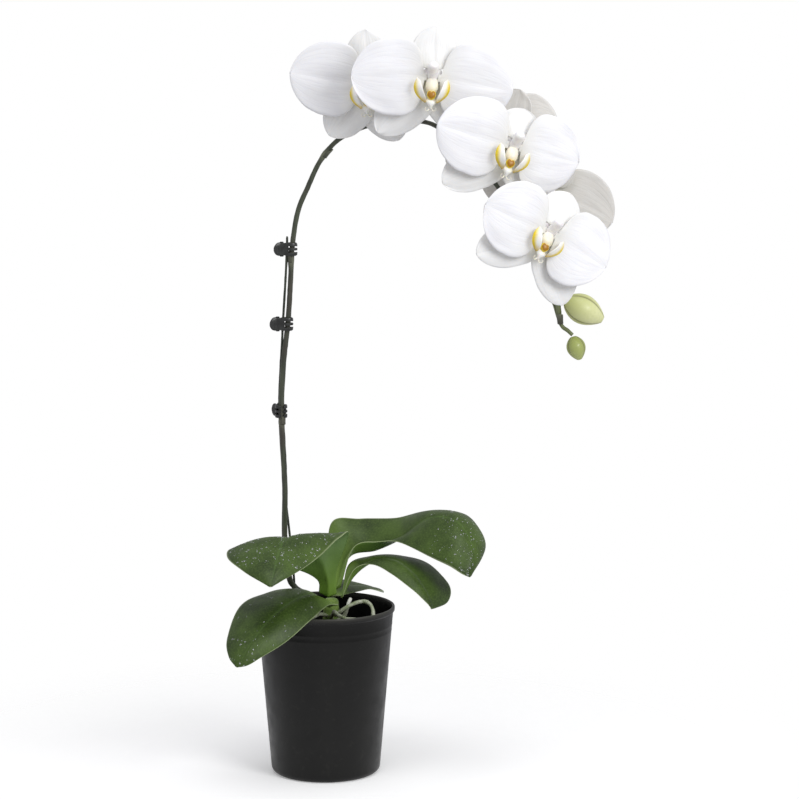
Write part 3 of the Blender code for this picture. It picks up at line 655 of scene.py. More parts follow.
def add_slab(shape, rows, thickness, traits, under=0, rim=0):
    """A thin solid sheet over rows of points that run left to right, thinning towards its margins.

    traits(i, k) gives the traits at row i, column k. The upper side has material 0, the lower side
    material under, and the margin material rim.
    """
    count, width = len(rows), len(rows[0])
    up = Vector((0, 0, 1))
    sides = [[], []]
    for i in range(count):
        upper, lower = [], []
        for k in range(width):
            ahead = rows[min(i + 1, count - 1)][k] - rows[max(i - 1, 0)][k]
            left = rows[i][max(k - 1, 0)] - rows[i][min(k + 1, width - 1)]
            normal = ahead.cross(left)
            if normal.length > 1e-6:
                up = normal.normalized()
            side = abs(2 * k / (width - 1) - 1)
            half = thickness / 2 * (1 - 0.65 * side ** 5)
            values = traits(i, k)
            upper.append(add_vert(shape, rows[i][k] + up * half, **values))
            lower.append(add_vert(shape, rows[i][k] - up * half, **values))
        sides[0].append(upper)
        sides[1].append(lower)
    upper, lower = sides
    for i in range(count - 1):
        for k in range(width - 1):
            shape.faces.new((upper[i][k], upper[i][k + 1], upper[i + 1][k + 1], upper[i + 1][k]))
            face = shape.faces.new((lower[i][k + 1], lower[i][k], lower[i + 1][k], lower[i + 1][k + 1]))
            face.material_index = under
    around = [(0, k) for k in range(width)] + [(i, width - 1) for i in range(1, count)]
    around += [(count - 1, k) for k in range(width - 2, -1, -1)] + [(i, 0) for i in range(count - 2, 0, -1)]
    bridge(shape, [lower[i][k] for i, k in around], [upper[i][k] for i, k in around], rim)
    return upper


# ---------------------------------------------------------------- pot, mix, stem and roots


def arc(centre, radius, start, end, count):
    """Points on an arc, its angles in degrees."""
    turns = [math.radians(start + (end - start) * i / (count - 1)) for i in range(count)]
    return [(centre[0] + radius * math.cos(a), centre[1] + radius * math.sin(a)) for a in turns]


def wall_radius(height):
    share = height / (POT_HEIGHT - RIM_DEPTH)
    return WALL_FOOT_RADIUS + (WALL_TOP_RADIUS - WALL_FOOT_RADIUS) * share


def make_pot():
    """The thin wall, its rolled rim, two mould beads, curved foot, foot ring and drain holes."""
    under_rim = POT_HEIGHT - RIM_DEPTH
    foot = wall_radius(FOOT_CURVE) - FOOT_CURVE
    outside = arc((foot, FOOT_CURVE), FOOT_CURVE, -90, 0, 9)
    for below in sorted(BEADS_BELOW_RIM, reverse=True):
        height = POT_HEIGHT - below
        outside += [(wall_radius(height + dz) + out, height + dz)
                    for dz, out in ((-1.4, 0), (-0.7, 0.1), (0, 0.14), (0.7, 0.1), (1.4, 0))]
    outside += [(WALL_TOP_RADIUS, under_rim - 0.8), (WALL_TOP_RADIUS + 0.15, under_rim - 0.2),
                (WALL_TOP_RADIUS + 0.9, under_rim + 0.1), (RIM_RADIUS - 0.1, under_rim + 0.7)]
    rim = arc((RIM_RADIUS - 1.2, POT_HEIGHT - 1.2), 1.2, 0, 180, 9)
    inside = [(wall_radius(z) - WALL, z) for z in (under_rim, 100, 60, 20, 8)]
    inside += arc((inside[-1][0] - 4, 6), 4, 0, -90, 5)
    profile = [(0.4, 0.9), (foot - 5, 0.9), (foot - 4, 0.1), *outside, *rim, *inside, (0.4, WALL + 0.6)]
    shape = new_shape()
    rim_low, rim_high = POT_HEIGHT - 2.6, POT_HEIGHT

    # Marks the top 2.6 mm of the rim, where the material paints a lighter highlight.
    def paint_rim_highlight(turn, share):
        height = profile[round(share * (len(profile) - 1))][1]
        return {"rim_top_highlight": clamp((height - rim_low) / (rim_high - rim_low))}

    add_turned(shape, profile, steps=144, traits=paint_rim_highlight)
    pot = finish_piece("pot_wall", shape, (POT,), "pot")
    cutters = []
    for k in range(DRAIN_HOLES):
        turn = math.tau * k / DRAIN_HOLES
        bit = bmesh.new()
        at = Matrix.Translation((DRAIN_CIRCLE * math.cos(turn), DRAIN_CIRCLE * math.sin(turn), 0))
        bmesh.ops.create_cone(bit, cap_ends=True, segments=32, radius1=DRAIN_RADIUS,
                              radius2=DRAIN_RADIUS, depth=8, matrix=at)
        bmesh.ops.scale(bit, vec=(MM, MM, MM), verts=bit.verts)
        mesh = bpy.data.meshes.new("drain_cutter")
        bit.to_mesh(mesh)
        bit.free()
        cutter = bpy.data.objects.new("drain_cutter", mesh)
        SCENE.collection.objects.link(cutter)
        cut = pot.modifiers.new("drain", "BOOLEAN")
        cut.operation = "DIFFERENCE"
        cut.object = cutter
        cutters.append(cutter)
    graph = bpy.context.evaluated_depsgraph_get()
    cut_mesh = bpy.data.meshes.new_from_object(pot.evaluated_get(graph))
    pot.modifiers.clear()
    pot.data = cut_mesh
    for cutter in cutters:
        bpy.data.objects.remove(cutter)


def add_chip(shape, dice, place, size, tilt, pale):
    """One torn bark chip: a rough block with bent, uneven faces."""
    placed = Matrix.Translation(place) @ tilt @ Matrix.Diagonal((*size, 1))
    made = bmesh.ops.create_icosphere(shape, subdivisions=2, radius=1)
    layer = shape.verts.layers.float["pale"]
    offset = Vector((dice.uniform(0, 90), dice.uniform(0, 90), dice.uniform(0, 90)))
    for vert in made["verts"]:
        block = Vector([math.copysign(abs(c) ** 0.55, c) / 2 for c in vert.co])
        vert.co = placed @ (block + 0.2 * noise.noise_vector(block * 2.6 + offset))
        vert[layer] = pale


def make_mix():
    """A dark bed with loose bark chips scattered over it."""
    dice = random.Random(5)
    shape = new_shape()
    bed = wall_radius(MIX_TOP - 3) - WALL - 0.5
    low = wall_radius(8) - WALL - 1.9
    profile = [(0.5, 2.6), (low - 3, 2.6), (low, 8), (bed, MIX_TOP - 3), (bed - 4, MIX_TOP - 2),
               (0.5, MIX_TOP)]
    add_turned(shape, profile, steps=48)
    for _ in range(BARK_CHIPS):
        reach = (bed - 7) * math.sqrt(dice.random())
        turn = dice.uniform(0, math.tau)
        height = MIX_TOP - 1 + dice.uniform(-1.5, 2.2)
        place = Vector((reach * math.cos(turn), reach * math.sin(turn), height))
        size = (dice.uniform(6, 15), dice.uniform(4, 9), dice.uniform(2, 4))
        tilt = (Matrix.Rotation(dice.uniform(0, math.tau), 4, "Z")
                @ Matrix.Rotation(dice.gauss(0, 0.28), 4, "X") @ Matrix.Rotation(dice.gauss(0, 0.28), 4, "Y"))
        add_chip(shape, dice, place, size, tilt, dice.random() ** 2)
    finish_piece("bark_mix_chips", shape, (BARK,), "bark_mix")


def make_stem():
    """The short stem ringed with old sheath scars, and the roots that leave it."""
    shape = new_shape()
    x, y = STEM_AT
    profile = [(0.4, STEM_FOOT)]
    rings = 22
    for i in range(rings):
        share = i / (rings - 1)
        scar = 0.35 * abs(math.sin(math.pi * share * 5))
        radius = STEM_RADIUS + 1.0 * math.sin(math.pi * share) - 0.8 * share + scar
        profile.append((radius, STEM_FOOT + 0.8 + (STEM_TOP - STEM_FOOT - 2) * share))
    profile += [(STEM_RADIUS - 2, STEM_TOP - 0.4), (0.4, STEM_TOP)]
    add_turned(shape, profile, steps=40, placed=Matrix.Translation((x, y, 0)),
               traits=lambda turn, share: {"young": 1.0})
    for name, route in ROOTS.items():
        count = 12 * len(route)
        tip = 0.62 if name == "pale_tip" else 0.9
        radii = [ROOT_RADIUS * (1.0 if i < 0.9 * count else 1 - 0.6 * ((i / count - 0.9) / 0.1) ** 2)
                 for i in range(count)]
        add_tube(shape, smooth_route(route, count), radii, sides=20,
                 traits=lambda share, tip=tip: {"pale": clamp((share - tip) / 0.12)}, uneven=0.35)
    finish_piece("stem_with_roots", shape, (ROOT,), "stem_and_roots")


# ---------------------------------------------------------------- leaves


def leaf_rows(stations):
    """Cross-sections of a leaf: each half bulges up between the midrib groove and its margin."""
    rows = LEAF_ROWS
    margins = [smooth_route([station[k] for station in stations], rows, LEAF_TIP_AT) for k in range(3)]
    found = []
    for i in range(rows):
        left, middle, right = (line[i] for line in margins)
        ahead = margins[1][min(i + 1, rows - 1)] - margins[1][max(i - 1, 0)]
        wide = left - right
        up = ahead.cross(wide).normalized()
        row = []
        for k in range(-LEAF_HALF_COLUMNS, LEAF_HALF_COLUMNS + 1):
            share = abs(k) / LEAF_HALF_COLUMNS
            edge = left if k < 0 else right
            lift = LEAF_BULGE * wide.length * math.sin(math.pi * share ** 0.8)
            place = middle.lerp(edge, share) + up * lift
            ripple = noise.noise(place * 0.045) * 0.9 * share
            row.append(place + up * ripple)
        found.append(row)
    return found


def add_drops(shape, name, upper, material):
    """Small flattened water drops scattered over the leaf's upper side."""
    dice = random.Random(len(name))
    skin = [[vert.co.copy() for vert in row] for row in upper]
    count, first, last = WATER_DROPS[name]
    for _ in range(count):
        i = round((LEAF_ROWS - 2) * dice.uniform(first, last))
        k = dice.randrange(1, len(skin[0]) - 2)
        spot = skin[i][k].lerp(skin[i][k + 1], dice.random())
        normal = (skin[i + 1][k] - skin[i][k]).cross(skin[i][k] - skin[i][k + 1])
        upright = normal.normalized().to_track_quat("Z", "Y").to_matrix().to_4x4()
        reach = 0.25 + 0.55 * dice.random() ** 2.5
        placed = (Matrix.Translation(spot) @ upright @ Matrix.Rotation(dice.uniform(0, 3), 4, "Z")
                  @ Matrix.Diagonal((reach * dice.uniform(1, 1.7), reach, reach * 0.6, 1)))
        made = bmesh.ops.create_icosphere(shape, subdivisions=2, radius=1, matrix=placed)
        for face in {f for v in made["verts"] for f in v.link_faces}:
            face.material_index = material


def make_leaf(name, stations):
    shape = new_shape()
    columns = 2 * LEAF_HALF_COLUMNS

    def traits(i, k):
        return {"along": i / (LEAF_ROWS - 1), "across": 2 * k / columns - 1}

    upper = add_slab(shape, leaf_rows(stations), LEAF_THICKNESS, traits, under=1, rim=2)
    if name in WATER_DROPS:
        add_drops(shape, name, upper, 3)
    finish_piece(name + "_blade", shape, LEAF, name)


# ---------------------------------------------------------------- flowers


def flower_frame(centre, turn, nod, roll, size):
    """Local +Z is the way the flower faces, +Y its top and +X to the right as it is looked at."""
    upright = Matrix.Rotation(math.radians(90), 4, "X")
    turned_about = Matrix.Rotation(math.radians(turn), 4, "Z")
    nodded = Matrix.Rotation(math.radians(nod), 4, "X")
    rolled = Matrix.Rotation(math.radians(-roll), 4, "Z")
    return Matrix.Translation(centre) @ turned_about @ upright @ nodded @ rolled @ Matrix.Scale(size, 4)


def blade_half_width(along, width, fullness):
    """Half the width of a petal at this share of its length, from its narrow claw to its tip."""
    body = max(0.0, (along - 0.05) / 0.95)
    swell = max(0.0, 1 - abs(2 * body ** fullness - 1) ** 2.3) ** 0.55
    return max(0.5, CLAW_HALF_WIDTH * (1 - along) + (width / 2 - CLAW_HALF_WIDTH / 2) * swell)


def petal_share(row):
    """The share of a petal's length at this row; the rows lie closer together at both ends."""
    return (1 - math.cos(math.pi * row / (PETAL_ROWS - 1))) / 2


def petal_rows(length, width, fullness, lean, cup, base, ruffle, seed):
    """A petal or sepal along +X from its foot, cupped at its sides, with a wavy margin and a midline."""
    found = []
    for i in range(PETAL_ROWS):
        along = petal_share(i)
        half = blade_half_width(along, width, fullness)
        row = []
        for k in range(PETAL_COLUMNS + 1):
            side = 1 - 2 * k / PETAL_COLUMNS
            open_out = math.sin(math.pi * along)
            height = base + lean * along - cup * side ** 2 * open_out
            height -= 0.6 * math.exp(-(side / 0.08) ** 2) * open_out
            height += 1.1 * noise.noise(Vector((side * 2.1 + seed, along * 1.6, seed))) * open_out
            height += 0.25 * noise.noise(Vector((side * 7 - seed, along * 2.4, seed))) * open_out
            wave = noise.noise(Vector((along * 3.1 + seed, side * 1.4, seed * 0.7)))
            height += ruffle * wave * (0.25 + abs(side) ** 2) * along
            flutter = 1 + 0.025 * noise.noise(Vector((along * 6, side * 2, seed + 5)))
            row.append(Vector((PETAL_START + length * along, half * side * flutter, height)))
        found.append(row)
    return found


def make_blades(name, frame_, lateral_turn, seed):
    """Three sepals behind and two broad petals over them."""
    sepal = dict(fullness=0.8, lean=-7.0, cup=1.5, ruffle=2.2)
    petal = dict(length=PETAL_LENGTH, width=PETAL_WIDTH, fullness=0.78, lean=2.0, cup=1.5, base=1.2,
                 ruffle=2.6)
    blades = {
        "sepal_dorsal": (90, dict(length=DORSAL_LENGTH, width=DORSAL_WIDTH, base=-1.2, **sepal), 0.25),
        "sepal_left": (-90 - lateral_turn,
                       dict(length=LATERAL_LENGTH, width=LATERAL_WIDTH, base=-1.2, **sepal), 0.75),
        "sepal_right": (-90 + lateral_turn,
                        dict(length=LATERAL_LENGTH, width=LATERAL_WIDTH, base=-3.0, **sepal), 0.75),
        "petal_left": (180, petal, 0.3),
        "petal_right": (0, petal, 0.3),
    }
    for number, (part, (angle, sizes, olive)) in enumerate(blades.items()):
        turn, stretch = BLADE_CHANGES.get((name, part), (0, 1.0))
        sizes = {**sizes, "length": sizes["length"] * stretch}
        placed = frame_ @ Matrix.Rotation(math.radians(angle + turn), 4, "Z")
        rows = [[placed @ point for point in row] for row in petal_rows(seed=seed + 3.3 * number, **sizes)]

        def traits(i, k, olive=olive):
            along = petal_share(i)
            return {"along": along, "across": 1 - 2 * k / PETAL_COLUMNS,
                    "olive": olive * max(0.0, 1 - along / 0.42) ** 1.6}

        shape = new_shape()
        add_slab(shape, rows, PETAL_THICKNESS, traits, under=1)
        # The lower side of each blade takes the darker underside tissue, which is painted shade.
        skins = (PETAL if "petal" in part else SEPAL, SHADED_PETAL_BACK)
        finish_piece(f"{name}_{part}_blade", shape, skins, f"{name}_{part}")


def make_column(name, frame_):
    """A short club with a rounded anther cap over a shallow stigma hollow."""
    shape = new_shape()
    heights = [(0.3, -2), (3.4, -1.7), (4.3, -0.4), (4.4, 1.2), (4.2, 3.2), (4.1, 5), (4.3, 7.4),
               (4.6, 9.6), (4.7, 11.6), (4.4, 13.2), (3.7, 14.6), (2.4, 15.7), (1.1, 16.1), (0.3, 16.2)]

    def squash(turn, share):
        """Flattens the lower front into the stigma hollow and lifts the cap's small beak."""
        front = max(0.0, -math.sin(turn))
        hollow = 0.16 * front * math.exp(-((share - 0.62) / 0.1) ** 2)
        beak = 0.2 * front ** 3 * math.exp(-((share - 0.85) / 0.06) ** 2)
        return 1 - hollow + beak

    # The receptacle: a thin disc behind the flower's centre, where the feet of the blades meet.
    collar = [(0.3, -3.2), (5, -3.1), (8.2, -2.7), (8.8, -2.4), (8.2, -2.2), (0.3, -2.0)]
    add_turned(shape, collar, steps=32, placed=frame_)
    tilt = Matrix.Rotation(math.radians(COLUMN_TILT), 4, "X")
    add_turned(shape, heights, steps=32, placed=frame_ @ tilt, squash=squash,
               traits=lambda turn, share: {"yellow": 0.15 * math.exp(-((share - 0.62) / 0.12) ** 2)
                                           * max(0.0, -math.sin(turn))})
    finish_piece(f"{name}_column_club", shape, (COLUMN,), f"{name}_column")


def side_lobe_rows(side):
    """An upright side lobe of the lip, an oval sheet that curls in over the callus."""
    rows, columns = 16, 12
    found = []
    for i in range(rows):
        up = i / (rows - 1)
        half = 0.8 + 5.8 * math.sin(math.pi * (0.06 + 0.86 * up ** 0.8)) ** 0.7
        row = []
        for k in range(columns + 1):
            out = 2 * k / columns - 1
            curl = math.radians(25 + 25 * up)
            x = side * (6.5 + 4.8 * math.sin(math.pi * up * 0.62) + half * out * math.cos(curl) * 0.8)
            y = -19.5 + 17.5 * up + 1.2 * out
            z = 5.5 + 6.5 * math.sin(math.pi * (0.15 + 0.7 * up)) - half * out * math.sin(curl) * 0.75
            row.append(Vector((x, y, z)))
        found.append(row if side > 0 else row[::-1])
    return found


def midlobe_rows():
    """The lip's tongue: narrow at its foot, wider at its shoulders, drawn in to a blunt tip."""
    rows, columns = 18, 10
    found = []
    for i in range(rows):
        along = i / (rows - 1)
        half = 2.4 + 2.6 * math.exp(-((along - 0.45) / 0.2) ** 2) - 1.9 * along ** 2
        row = []
        for k in range(columns + 1):
            side = 1 - 2 * k / columns
            y = -15 - 10.5 * along
            z = 6.8 + 3.4 * math.sin(math.pi * along * 0.9) - 1.6 * side ** 2 + 0.8 * (1 - abs(side)) * along
            row.append(Vector((-half * side, y, z)))
        found.append(row)
    return found


def add_heart(shape, placed):
    """The callus: a low heart-shaped cushion, yellow at its edge and ochre on top."""
    rings = 12
    profile = [(0.3, -1.5)]
    for i in range(rings):
        rise = math.pi / 2 * i / rings
        profile.append((3.9 * math.cos(rise) ** 0.8, 3.0 * math.sin(rise)))
    profile.append((0.2, 3.0))

    def outline(turn, share):
        """Notched at the top of the heart and drawn out at its foot."""
        from_top = abs(turn - math.pi / 2)
        from_foot = abs(turn - 1.5 * math.pi)
        return 1 - 0.42 * math.exp(-(from_top / 0.42) ** 2) + 0.2 * math.exp(-(from_foot / 0.4) ** 2)

    add_turned(shape, profile, steps=40, placed=placed, squash=outline,
               traits=lambda turn, share: {"yellow": 1.0 if share > 0.2 else 0.3,
                                           "red": clamp((share - 0.42) / 0.1)})


def make_lip(name, frame_):
    """Two side lobes, a tongue with two curled tendrils, and a heart-shaped callus between them."""
    shape = new_shape()

    def place_rows(rows):
        return [[frame_ @ point for point in row] for row in rows]

    for side in (-1, 1):
        rows = side_lobe_rows(side)
        count, width = len(rows), len(rows[0])

        def lobe_traits(i, k, count=count, width=width, side=side):
            outer = k / (width - 1) if side > 0 else 1 - k / (width - 1)
            up = i / (count - 1)
            band = max(0.0, (outer - 0.42) / 0.4) * max(0.0, 1 - up ** 4)
            low = max(0.0, 1 - up / 0.3)
            return {"yellow": min(1.0, 1.1 * band + 0.9 * low), "red": 0.45 * low ** 1.3}

        add_slab(shape, place_rows(rows), thickness=0.9, traits=lobe_traits)
    rows = midlobe_rows()
    count = len(rows)

    def tongue_traits(i, k):
        foot = max(0.0, 1 - i / (count - 1) / 0.4)
        return {"yellow": 0.9 * foot, "red": 0.5 * foot ** 2}

    add_slab(shape, place_rows(rows), thickness=1.1, traits=tongue_traits)
    add_heart(shape, frame_ @ Matrix.Translation((0, -13.8, 8.6)) @ Matrix.Rotation(-0.25, 4, "X"))
    claw = [Vector(p) for p in ((0, -1.5, 0.5), (0, -5, 2.4), (0, -9, 4.2), (0, -13, 5.4))]
    claw_radii = [3.6, 4.2, 4.7, 5, 5.1, 5.2, 5.2, 4.8, 4, 2.4]
    add_tube(shape, [frame_ @ p for p in smooth_route(claw, len(claw_radii))], claw_radii, sides=16,
             traits=lambda share: {"yellow": 0.1 + 0.12 * share})
    tendril_rings = 18
    for side in (-1, 1):
        curl = [Vector((side * x, y, z)) for x, y, z in ((0.8, -25, 8), (2.2, -27, 9), (4, -26.5, 10.5),
                                                         (4.4, -24.8, 11), (3.6, -24, 10.4))]
        places = [frame_ @ p for p in smooth_route(curl, tendril_rings)]
        radii = [0.55 - 0.4 * i / (tendril_rings - 1) for i in range(tendril_rings)]
        add_tube(shape, places, radii, sides=8, traits=lambda share: {"yellow": 0.15})
    finish_piece(f"{name}_lip_lobes", shape, (LIP,), f"{name}_lip")


# ---------------------------------------------------------------- buds, spike and stake


def make_bud(name, base, tip, radius):
    """A closed bud: three sepals that meet in shallow seams and draw in to a blunt point."""
    shape = new_shape()
    axis = Vector(tip) - Vector(base)
    length = axis.length
    rings = 36
    profile = [(0.3, 0.3)]
    for i in range(rings):
        share = i / (rings - 1)
        swell = math.sin(math.pi * (0.06 + 0.9 * share ** 0.92)) ** 0.72
        profile.append((radius * swell, 0.5 + (length - 0.8) * share))
    profile.append((0.3, length))
    green = 0.85 if name == "bud_small" else 0.15

    def seam_depth(turn):
        return math.exp(-(math.sin(1.5 * turn) / 0.16) ** 2)

    add_turned(shape, profile, steps=60,
               placed=Matrix.Translation(base) @ axis.to_track_quat("Z", "Y").to_matrix().to_4x4(),
               traits=lambda turn, share: {"along": share, "young": green, "seam": 0.8 * seam_depth(turn)},
               squash=lambda turn, share: 1 - 0.06 * seam_depth(turn) - 0.03 * math.cos(3 * turn))
    finish_piece(name + "_skin", shape, (BUD,), name)


def add_bract(shape, place, ahead, radius, side):
    """A small papery scale that wraps half the spike at a node and stands off at its tip."""
    rows, columns = 9, 12
    across = ahead.cross(side).normalized()
    outward = across.cross(ahead).normalized()
    found = []
    for i in range(rows):
        up = i / (rows - 1)
        spread = math.radians(118) * math.sqrt(max(0.0, 1 - up ** 2.2)) + 0.05
        row = []
        for k in range(columns + 1):
            turn = spread * (1 - 2 * k / columns)
            reach = radius + 0.35 + 0.9 * up ** 2
            out = outward * math.cos(turn) + across * math.sin(turn)
            row.append(place + ahead * (9.5 * up - 1.0) + out * reach)
        found.append(row)
    add_slab(shape, found, thickness=0.45, traits=lambda i, k: {"pale": 0.05 + 0.5 * (i / (rows - 1)) ** 2})


def make_spike():
    """The spike, swollen and ringed at its nodes, with bracts and the stalk of each flower and bud."""
    shape = new_shape()
    count = 260
    places = smooth_route(SPIKE_ROUTE, count)
    radii = []
    for i in range(count):
        share = i / (count - 1)
        radius = SPIKE_FOOT_RADIUS + (SPIKE_TIP_RADIUS - SPIKE_FOOT_RADIUS) * share
        radii.append(radius + sum(0.5 * math.exp(-((share - at) / 0.006) ** 2) for at in SPIKE_NODES))

    def ring_traits(share):
        pale = sum(math.exp(-((share - at) / 0.007) ** 2) for at in SPIKE_NODES)
        return {"pale": min(1.0, 0.4 * pale), "young": max(0.0, min(0.6, (share - 0.8) / 0.2))}

    add_tube(shape, places, radii, sides=20, traits=ring_traits, uneven=0.1)
    for number, at in enumerate(SPIKE_NODES):
        i = round(at * (count - 1))
        ahead = (places[i + 1] - places[i - 1]).normalized()
        side = Vector((1, 0.3, 0)) if number % 2 else Vector((-1, 0.3, 0))
        add_bract(shape, places[i], ahead, radii[i], side)
    stalks = []
    for centre, start, *pose, _ in FLOWERS.values():
        place = flower_frame(centre, *pose)
        back = [place @ Vector(p) for p in ((0, -15, -20), (0, -4.5, -10), (0, -1, -2.4))]
        start = Vector(start)
        stalks.append([start, start.lerp(back[0], 0.5) + Vector((0, 0, 3)), *back])
    base, tip, start, _ = BUDS["bud_large"]
    inward = (Vector(base) - Vector(tip)).normalized()
    stalks.append([Vector(start), Vector(base) + inward * 7, Vector(base) + inward * 0.2])
    steps = 40
    for route in stalks:
        swell = 1.6 if route is stalks[-1] else 0.25
        radii = [STALK_RADIUS * (1 + 0.45 * math.exp(-(i / 4) ** 2) + swell * i / steps)
                 for i in range(steps)]

        def stalk_traits(share, swell=swell):
            return {"young": 0.55 + 0.4 * share, "pale": (0.3 + 0.3 * swell) * share}

        add_tube(shape, smooth_route(route, steps), radii, sides=16, traits=stalk_traits, uneven=0.12)
        ahead = (route[1] - route[0]).normalized()
        add_bract(shape, route[0], ahead, STALK_RADIUS + 0.4, Vector((0, -1, -1)))
    finish_piece("flower_spike_skin", shape, (SPIKE,), "flower_spike")


def make_stake():
    """The coated wire, with its coat's rounded drip at the top and slight waves from straightening."""
    shape = new_shape()
    count = 180
    places = smooth_route(STAKE_ROUTE, count)
    radii = [STAKE_RADIUS] * (count - 3) + [STAKE_RADIUS * 0.95, STAKE_RADIUS * 0.75, STAKE_RADIUS * 0.35]
    add_tube(shape, places, radii, sides=16, uneven=0.12)
    finish_piece("wire_stake_coat", shape, (WIRE,), "wire_stake")


# ---------------------------------------------------------------- claw clips


def jaw_spine():
    """A jaw's centre line seen from above, from its grip, past the pin, to its finger tips."""
    return smooth_route([(-6.5, 5.0, 0), (-3.5, 4.0, 0), (-0.5, 2.9, 0), (4, 4.0, 0), (8, 4.6, 0),
                         (11.3, 3.6, 0), (12.7, 1.2, 0)], 49)


def make_jaw(name, side, placed, body):
    """One jaw: an oval grip with ribs, a waist at the pin, and three fingers that close on the spike."""
    shape = new_shape()
    spine = jaw_spine()
    count = len(spine)
    levels = 24
    half = CLIP_HEIGHT / 2
    slot_half, slots = 0.85, (-1.9, 1.9)
    finger_start = 0.56
    front, back = [], []
    for i, point in enumerate(spine):
        share = i / (count - 1)
        ahead = spine[min(i + 1, count - 1)] - spine[max(i - 1, 0)]
        off = Vector((-ahead.y, ahead.x, 0)).normalized()
        grip = max(0.0, 1 - share / 0.3)
        waist = math.exp(-((share - 0.4) / 0.08) ** 2)
        tall = half * math.sqrt(max(0.05, 1 - grip ** 2.6)) * (1 - 0.12 * waist)
        tall *= 1 - 0.1 * max(0.0, (share - 0.85) / 0.15)
        outer, inner = [], []
        for k in range(levels + 1):
            level = 2 * k / levels - 1
            z = tall * level
            rib = 0.28 * max(0.0, math.cos(share * 60)) if 0.05 < share < 0.26 and abs(level) < 0.75 else 0.0
            thick = 0.7 - 0.3 * abs(level) ** 6
            outer.append(add_vert(shape, to_side(point + off * (thick + rib), z, side)))
            inner.append(add_vert(shape, to_side(point - off * thick, z, side)))
        front.append(outer)
        back.append(inner)

    def is_slot(i, k):
        z = half * (2 * (k + 0.5) / levels - 1)
        return i / (count - 1) > finger_start and min(abs(z - s) for s in slots) < slot_half

    kept = {(i, k) for i in range(count - 1) for k in range(levels) if not is_slot(i, k)}
    # The way to each neighbour of a cell, and the two corners at the edge that they share.
    neighbours = {(-1, 0): (3, 0), (1, 0): (1, 2), (0, -1): (0, 1), (0, 1): (2, 3)}
    for i, k in kept:
        corners = ((i, k), (i + 1, k), (i + 1, k + 1), (i, k + 1))
        order = 1 if side > 0 else -1
        shape.faces.new([front[a][b] for a, b in corners][::order])
        shape.faces.new([back[a][b] for a, b in corners][::-order])
        for (di, dk), (first, second) in neighbours.items():
            if (i + di, k + dk) not in kept:
                (a, b), (c, d) = corners[first], corners[second]
                shape.faces.new([front[a][b], back[a][b], back[c][d], front[c][d]][::order])
    bmesh.ops.delete(shape, geom=[v for v in shape.verts if not v.link_faces], context="VERTS")
    knuckles = [(-1.8, 1.8)] if side > 0 else [(-half + 0.2, -2.2), (2.2, half - 0.2)]
    for low, high in knuckles:
        profile = [(0.3, low), (2.1, low), (2.6, low + 0.4), (2.6, high - 0.4), (2.1, high), (0.3, high)]
        add_turned(shape, profile, steps=28)
    if side > 0:
        top = half + 0.8
        pin = [(0.2, -top), (1.3, -top), (1.7, -top + 0.4), (1.7, -top + 0.8), (1.0, -top + 0.9),
               (1.0, top - 0.9), (1.7, top - 0.8), (1.7, top - 0.4), (1.3, top), (0.2, top)]
        add_turned(shape, pin, steps=24)
    else:
        coil = [Vector((1.25 * math.cos(t), 1.25 * math.sin(t), -half + t * 0.02)) for t in
                (math.tau * i / 16 for i in range(49))]
        add_tube(shape, coil, [0.25] * len(coil), sides=8)
    bmesh.ops.transform(shape, matrix=placed, verts=shape.verts)
    bmesh.ops.recalc_face_normals(shape, faces=shape.faces)
    jaw = finish_piece(name + "_shell", shape, (CLIP,), name, body)
    soften = jaw.modifiers.new("moulded edges", "BEVEL")
    soften.width = 0.18 * MM
    soften.segments = 2
    soften.limit_method = "ANGLE"
    soften.angle_limit = math.radians(50)


def to_side(point, height, side):
    return Vector((point.x, point.y * side, height))


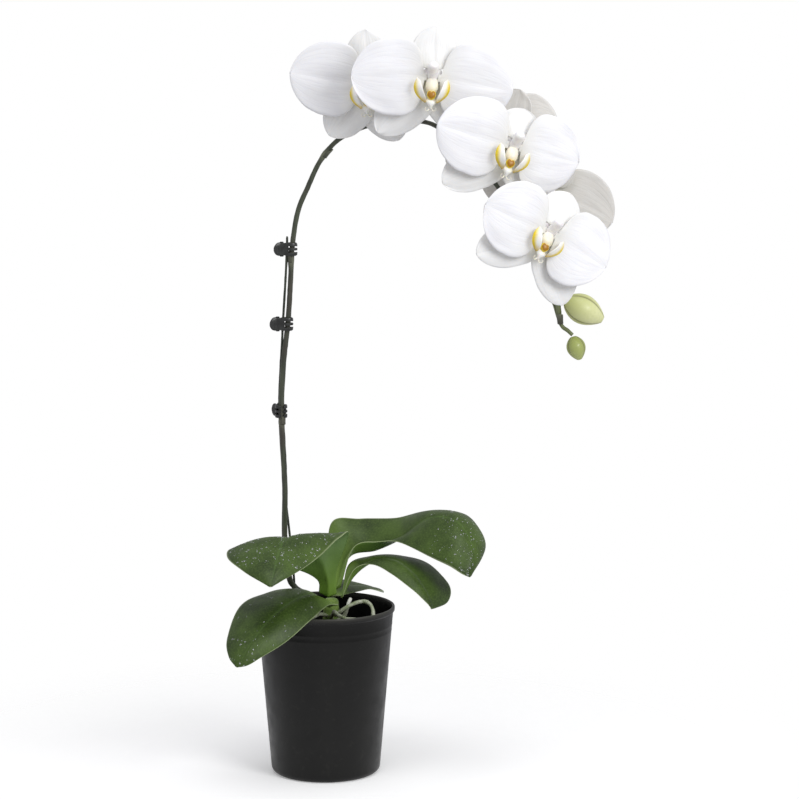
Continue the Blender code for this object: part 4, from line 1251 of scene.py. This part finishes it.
def make_clips():
    for name, (height, (x, y), bearing) in CLIPS.items():
        turn = math.radians(bearing)
        pin = Vector((x + PIN_TO_SPIKE * math.cos(turn), y + PIN_TO_SPIKE * math.sin(turn), height))
        placed = Matrix.Translation(pin) @ Matrix.Rotation(turn + math.pi, 4, "Z")
        make_jaw(f"{name}_fixed_jaw", 1, placed, "root")
        make_jaw(f"{name}_moving_jaw", -1, placed, f"{name}_jaw")


# ---------------------------------------------------------------- studio


def make_studio():
    """A white floor and backdrop, a large soft light above, a smaller one front right, and the camera."""
    mesh = bpy.data.meshes.new("studio_floor")
    reach = FLOOR_FADE[1]
    mesh.from_pydata([(-reach, -reach, 0), (reach, -reach, 0), (reach, reach, 0), (-reach, reach, 0)], [],
                     [(0, 1, 2, 3)])
    mesh.materials.append(white_studio_floor())
    floor = bpy.data.objects.new("studio_floor", mesh)
    SCENE.collection.objects.link(floor)

    world = bpy.data.worlds.new("white studio")
    SCENE.world = world
    world.use_nodes = True
    sky = world.node_tree
    seen = add_node(sky, "LightPath").outputs["Is Camera Ray"]
    sky.links.new(blend_colours(sky, seen, "#F5F5F9", "#FFFFFF"), sky.nodes["Background"].inputs["Color"])
    sky.links.new(ramp(sky, seen, 0, 1, AMBIENT, 1), sky.nodes["Background"].inputs["Strength"])

    for name, (place, aim, size, power) in LIGHTS.items():
        data = bpy.data.lights.new(name, "AREA")
        data.shape = "DISK"
        data.size = size
        data.energy = power
        light = bpy.data.objects.new(name, data)
        light.location = place
        light.rotation_euler = (Vector(aim) - Vector(place)).to_track_quat("-Z", "Y").to_euler()
        SCENE.collection.objects.link(light)

    data = bpy.data.cameras.new("camera")
    data.lens = CAMERA_LENS
    camera = bpy.data.objects.new("camera", data)
    camera.location = CAMERA_AT
    camera.rotation_euler = (math.radians(CAMERA_PITCH), 0, 0)
    SCENE.collection.objects.link(camera)
    SCENE.camera = camera
    SCENE.view_settings.view_transform = "Standard"


make_studio()
make_pot()
make_mix()
make_stem()
for leaf, stations in LEAVES.items():
    make_leaf(leaf, stations)
for order, (flower, (centre, _, *pose, lateral)) in enumerate(FLOWERS.items()):
    flower_place = flower_frame(centre, *pose)
    make_blades(flower, flower_place, lateral, 11.7 * order)
    make_column(flower, flower_place)
    make_lip(flower, flower_place)
for bud, (base, tip, _, widest) in BUDS.items():
    make_bud(bud, base, tip, widest)
make_spike()
make_stake()
make_clips()
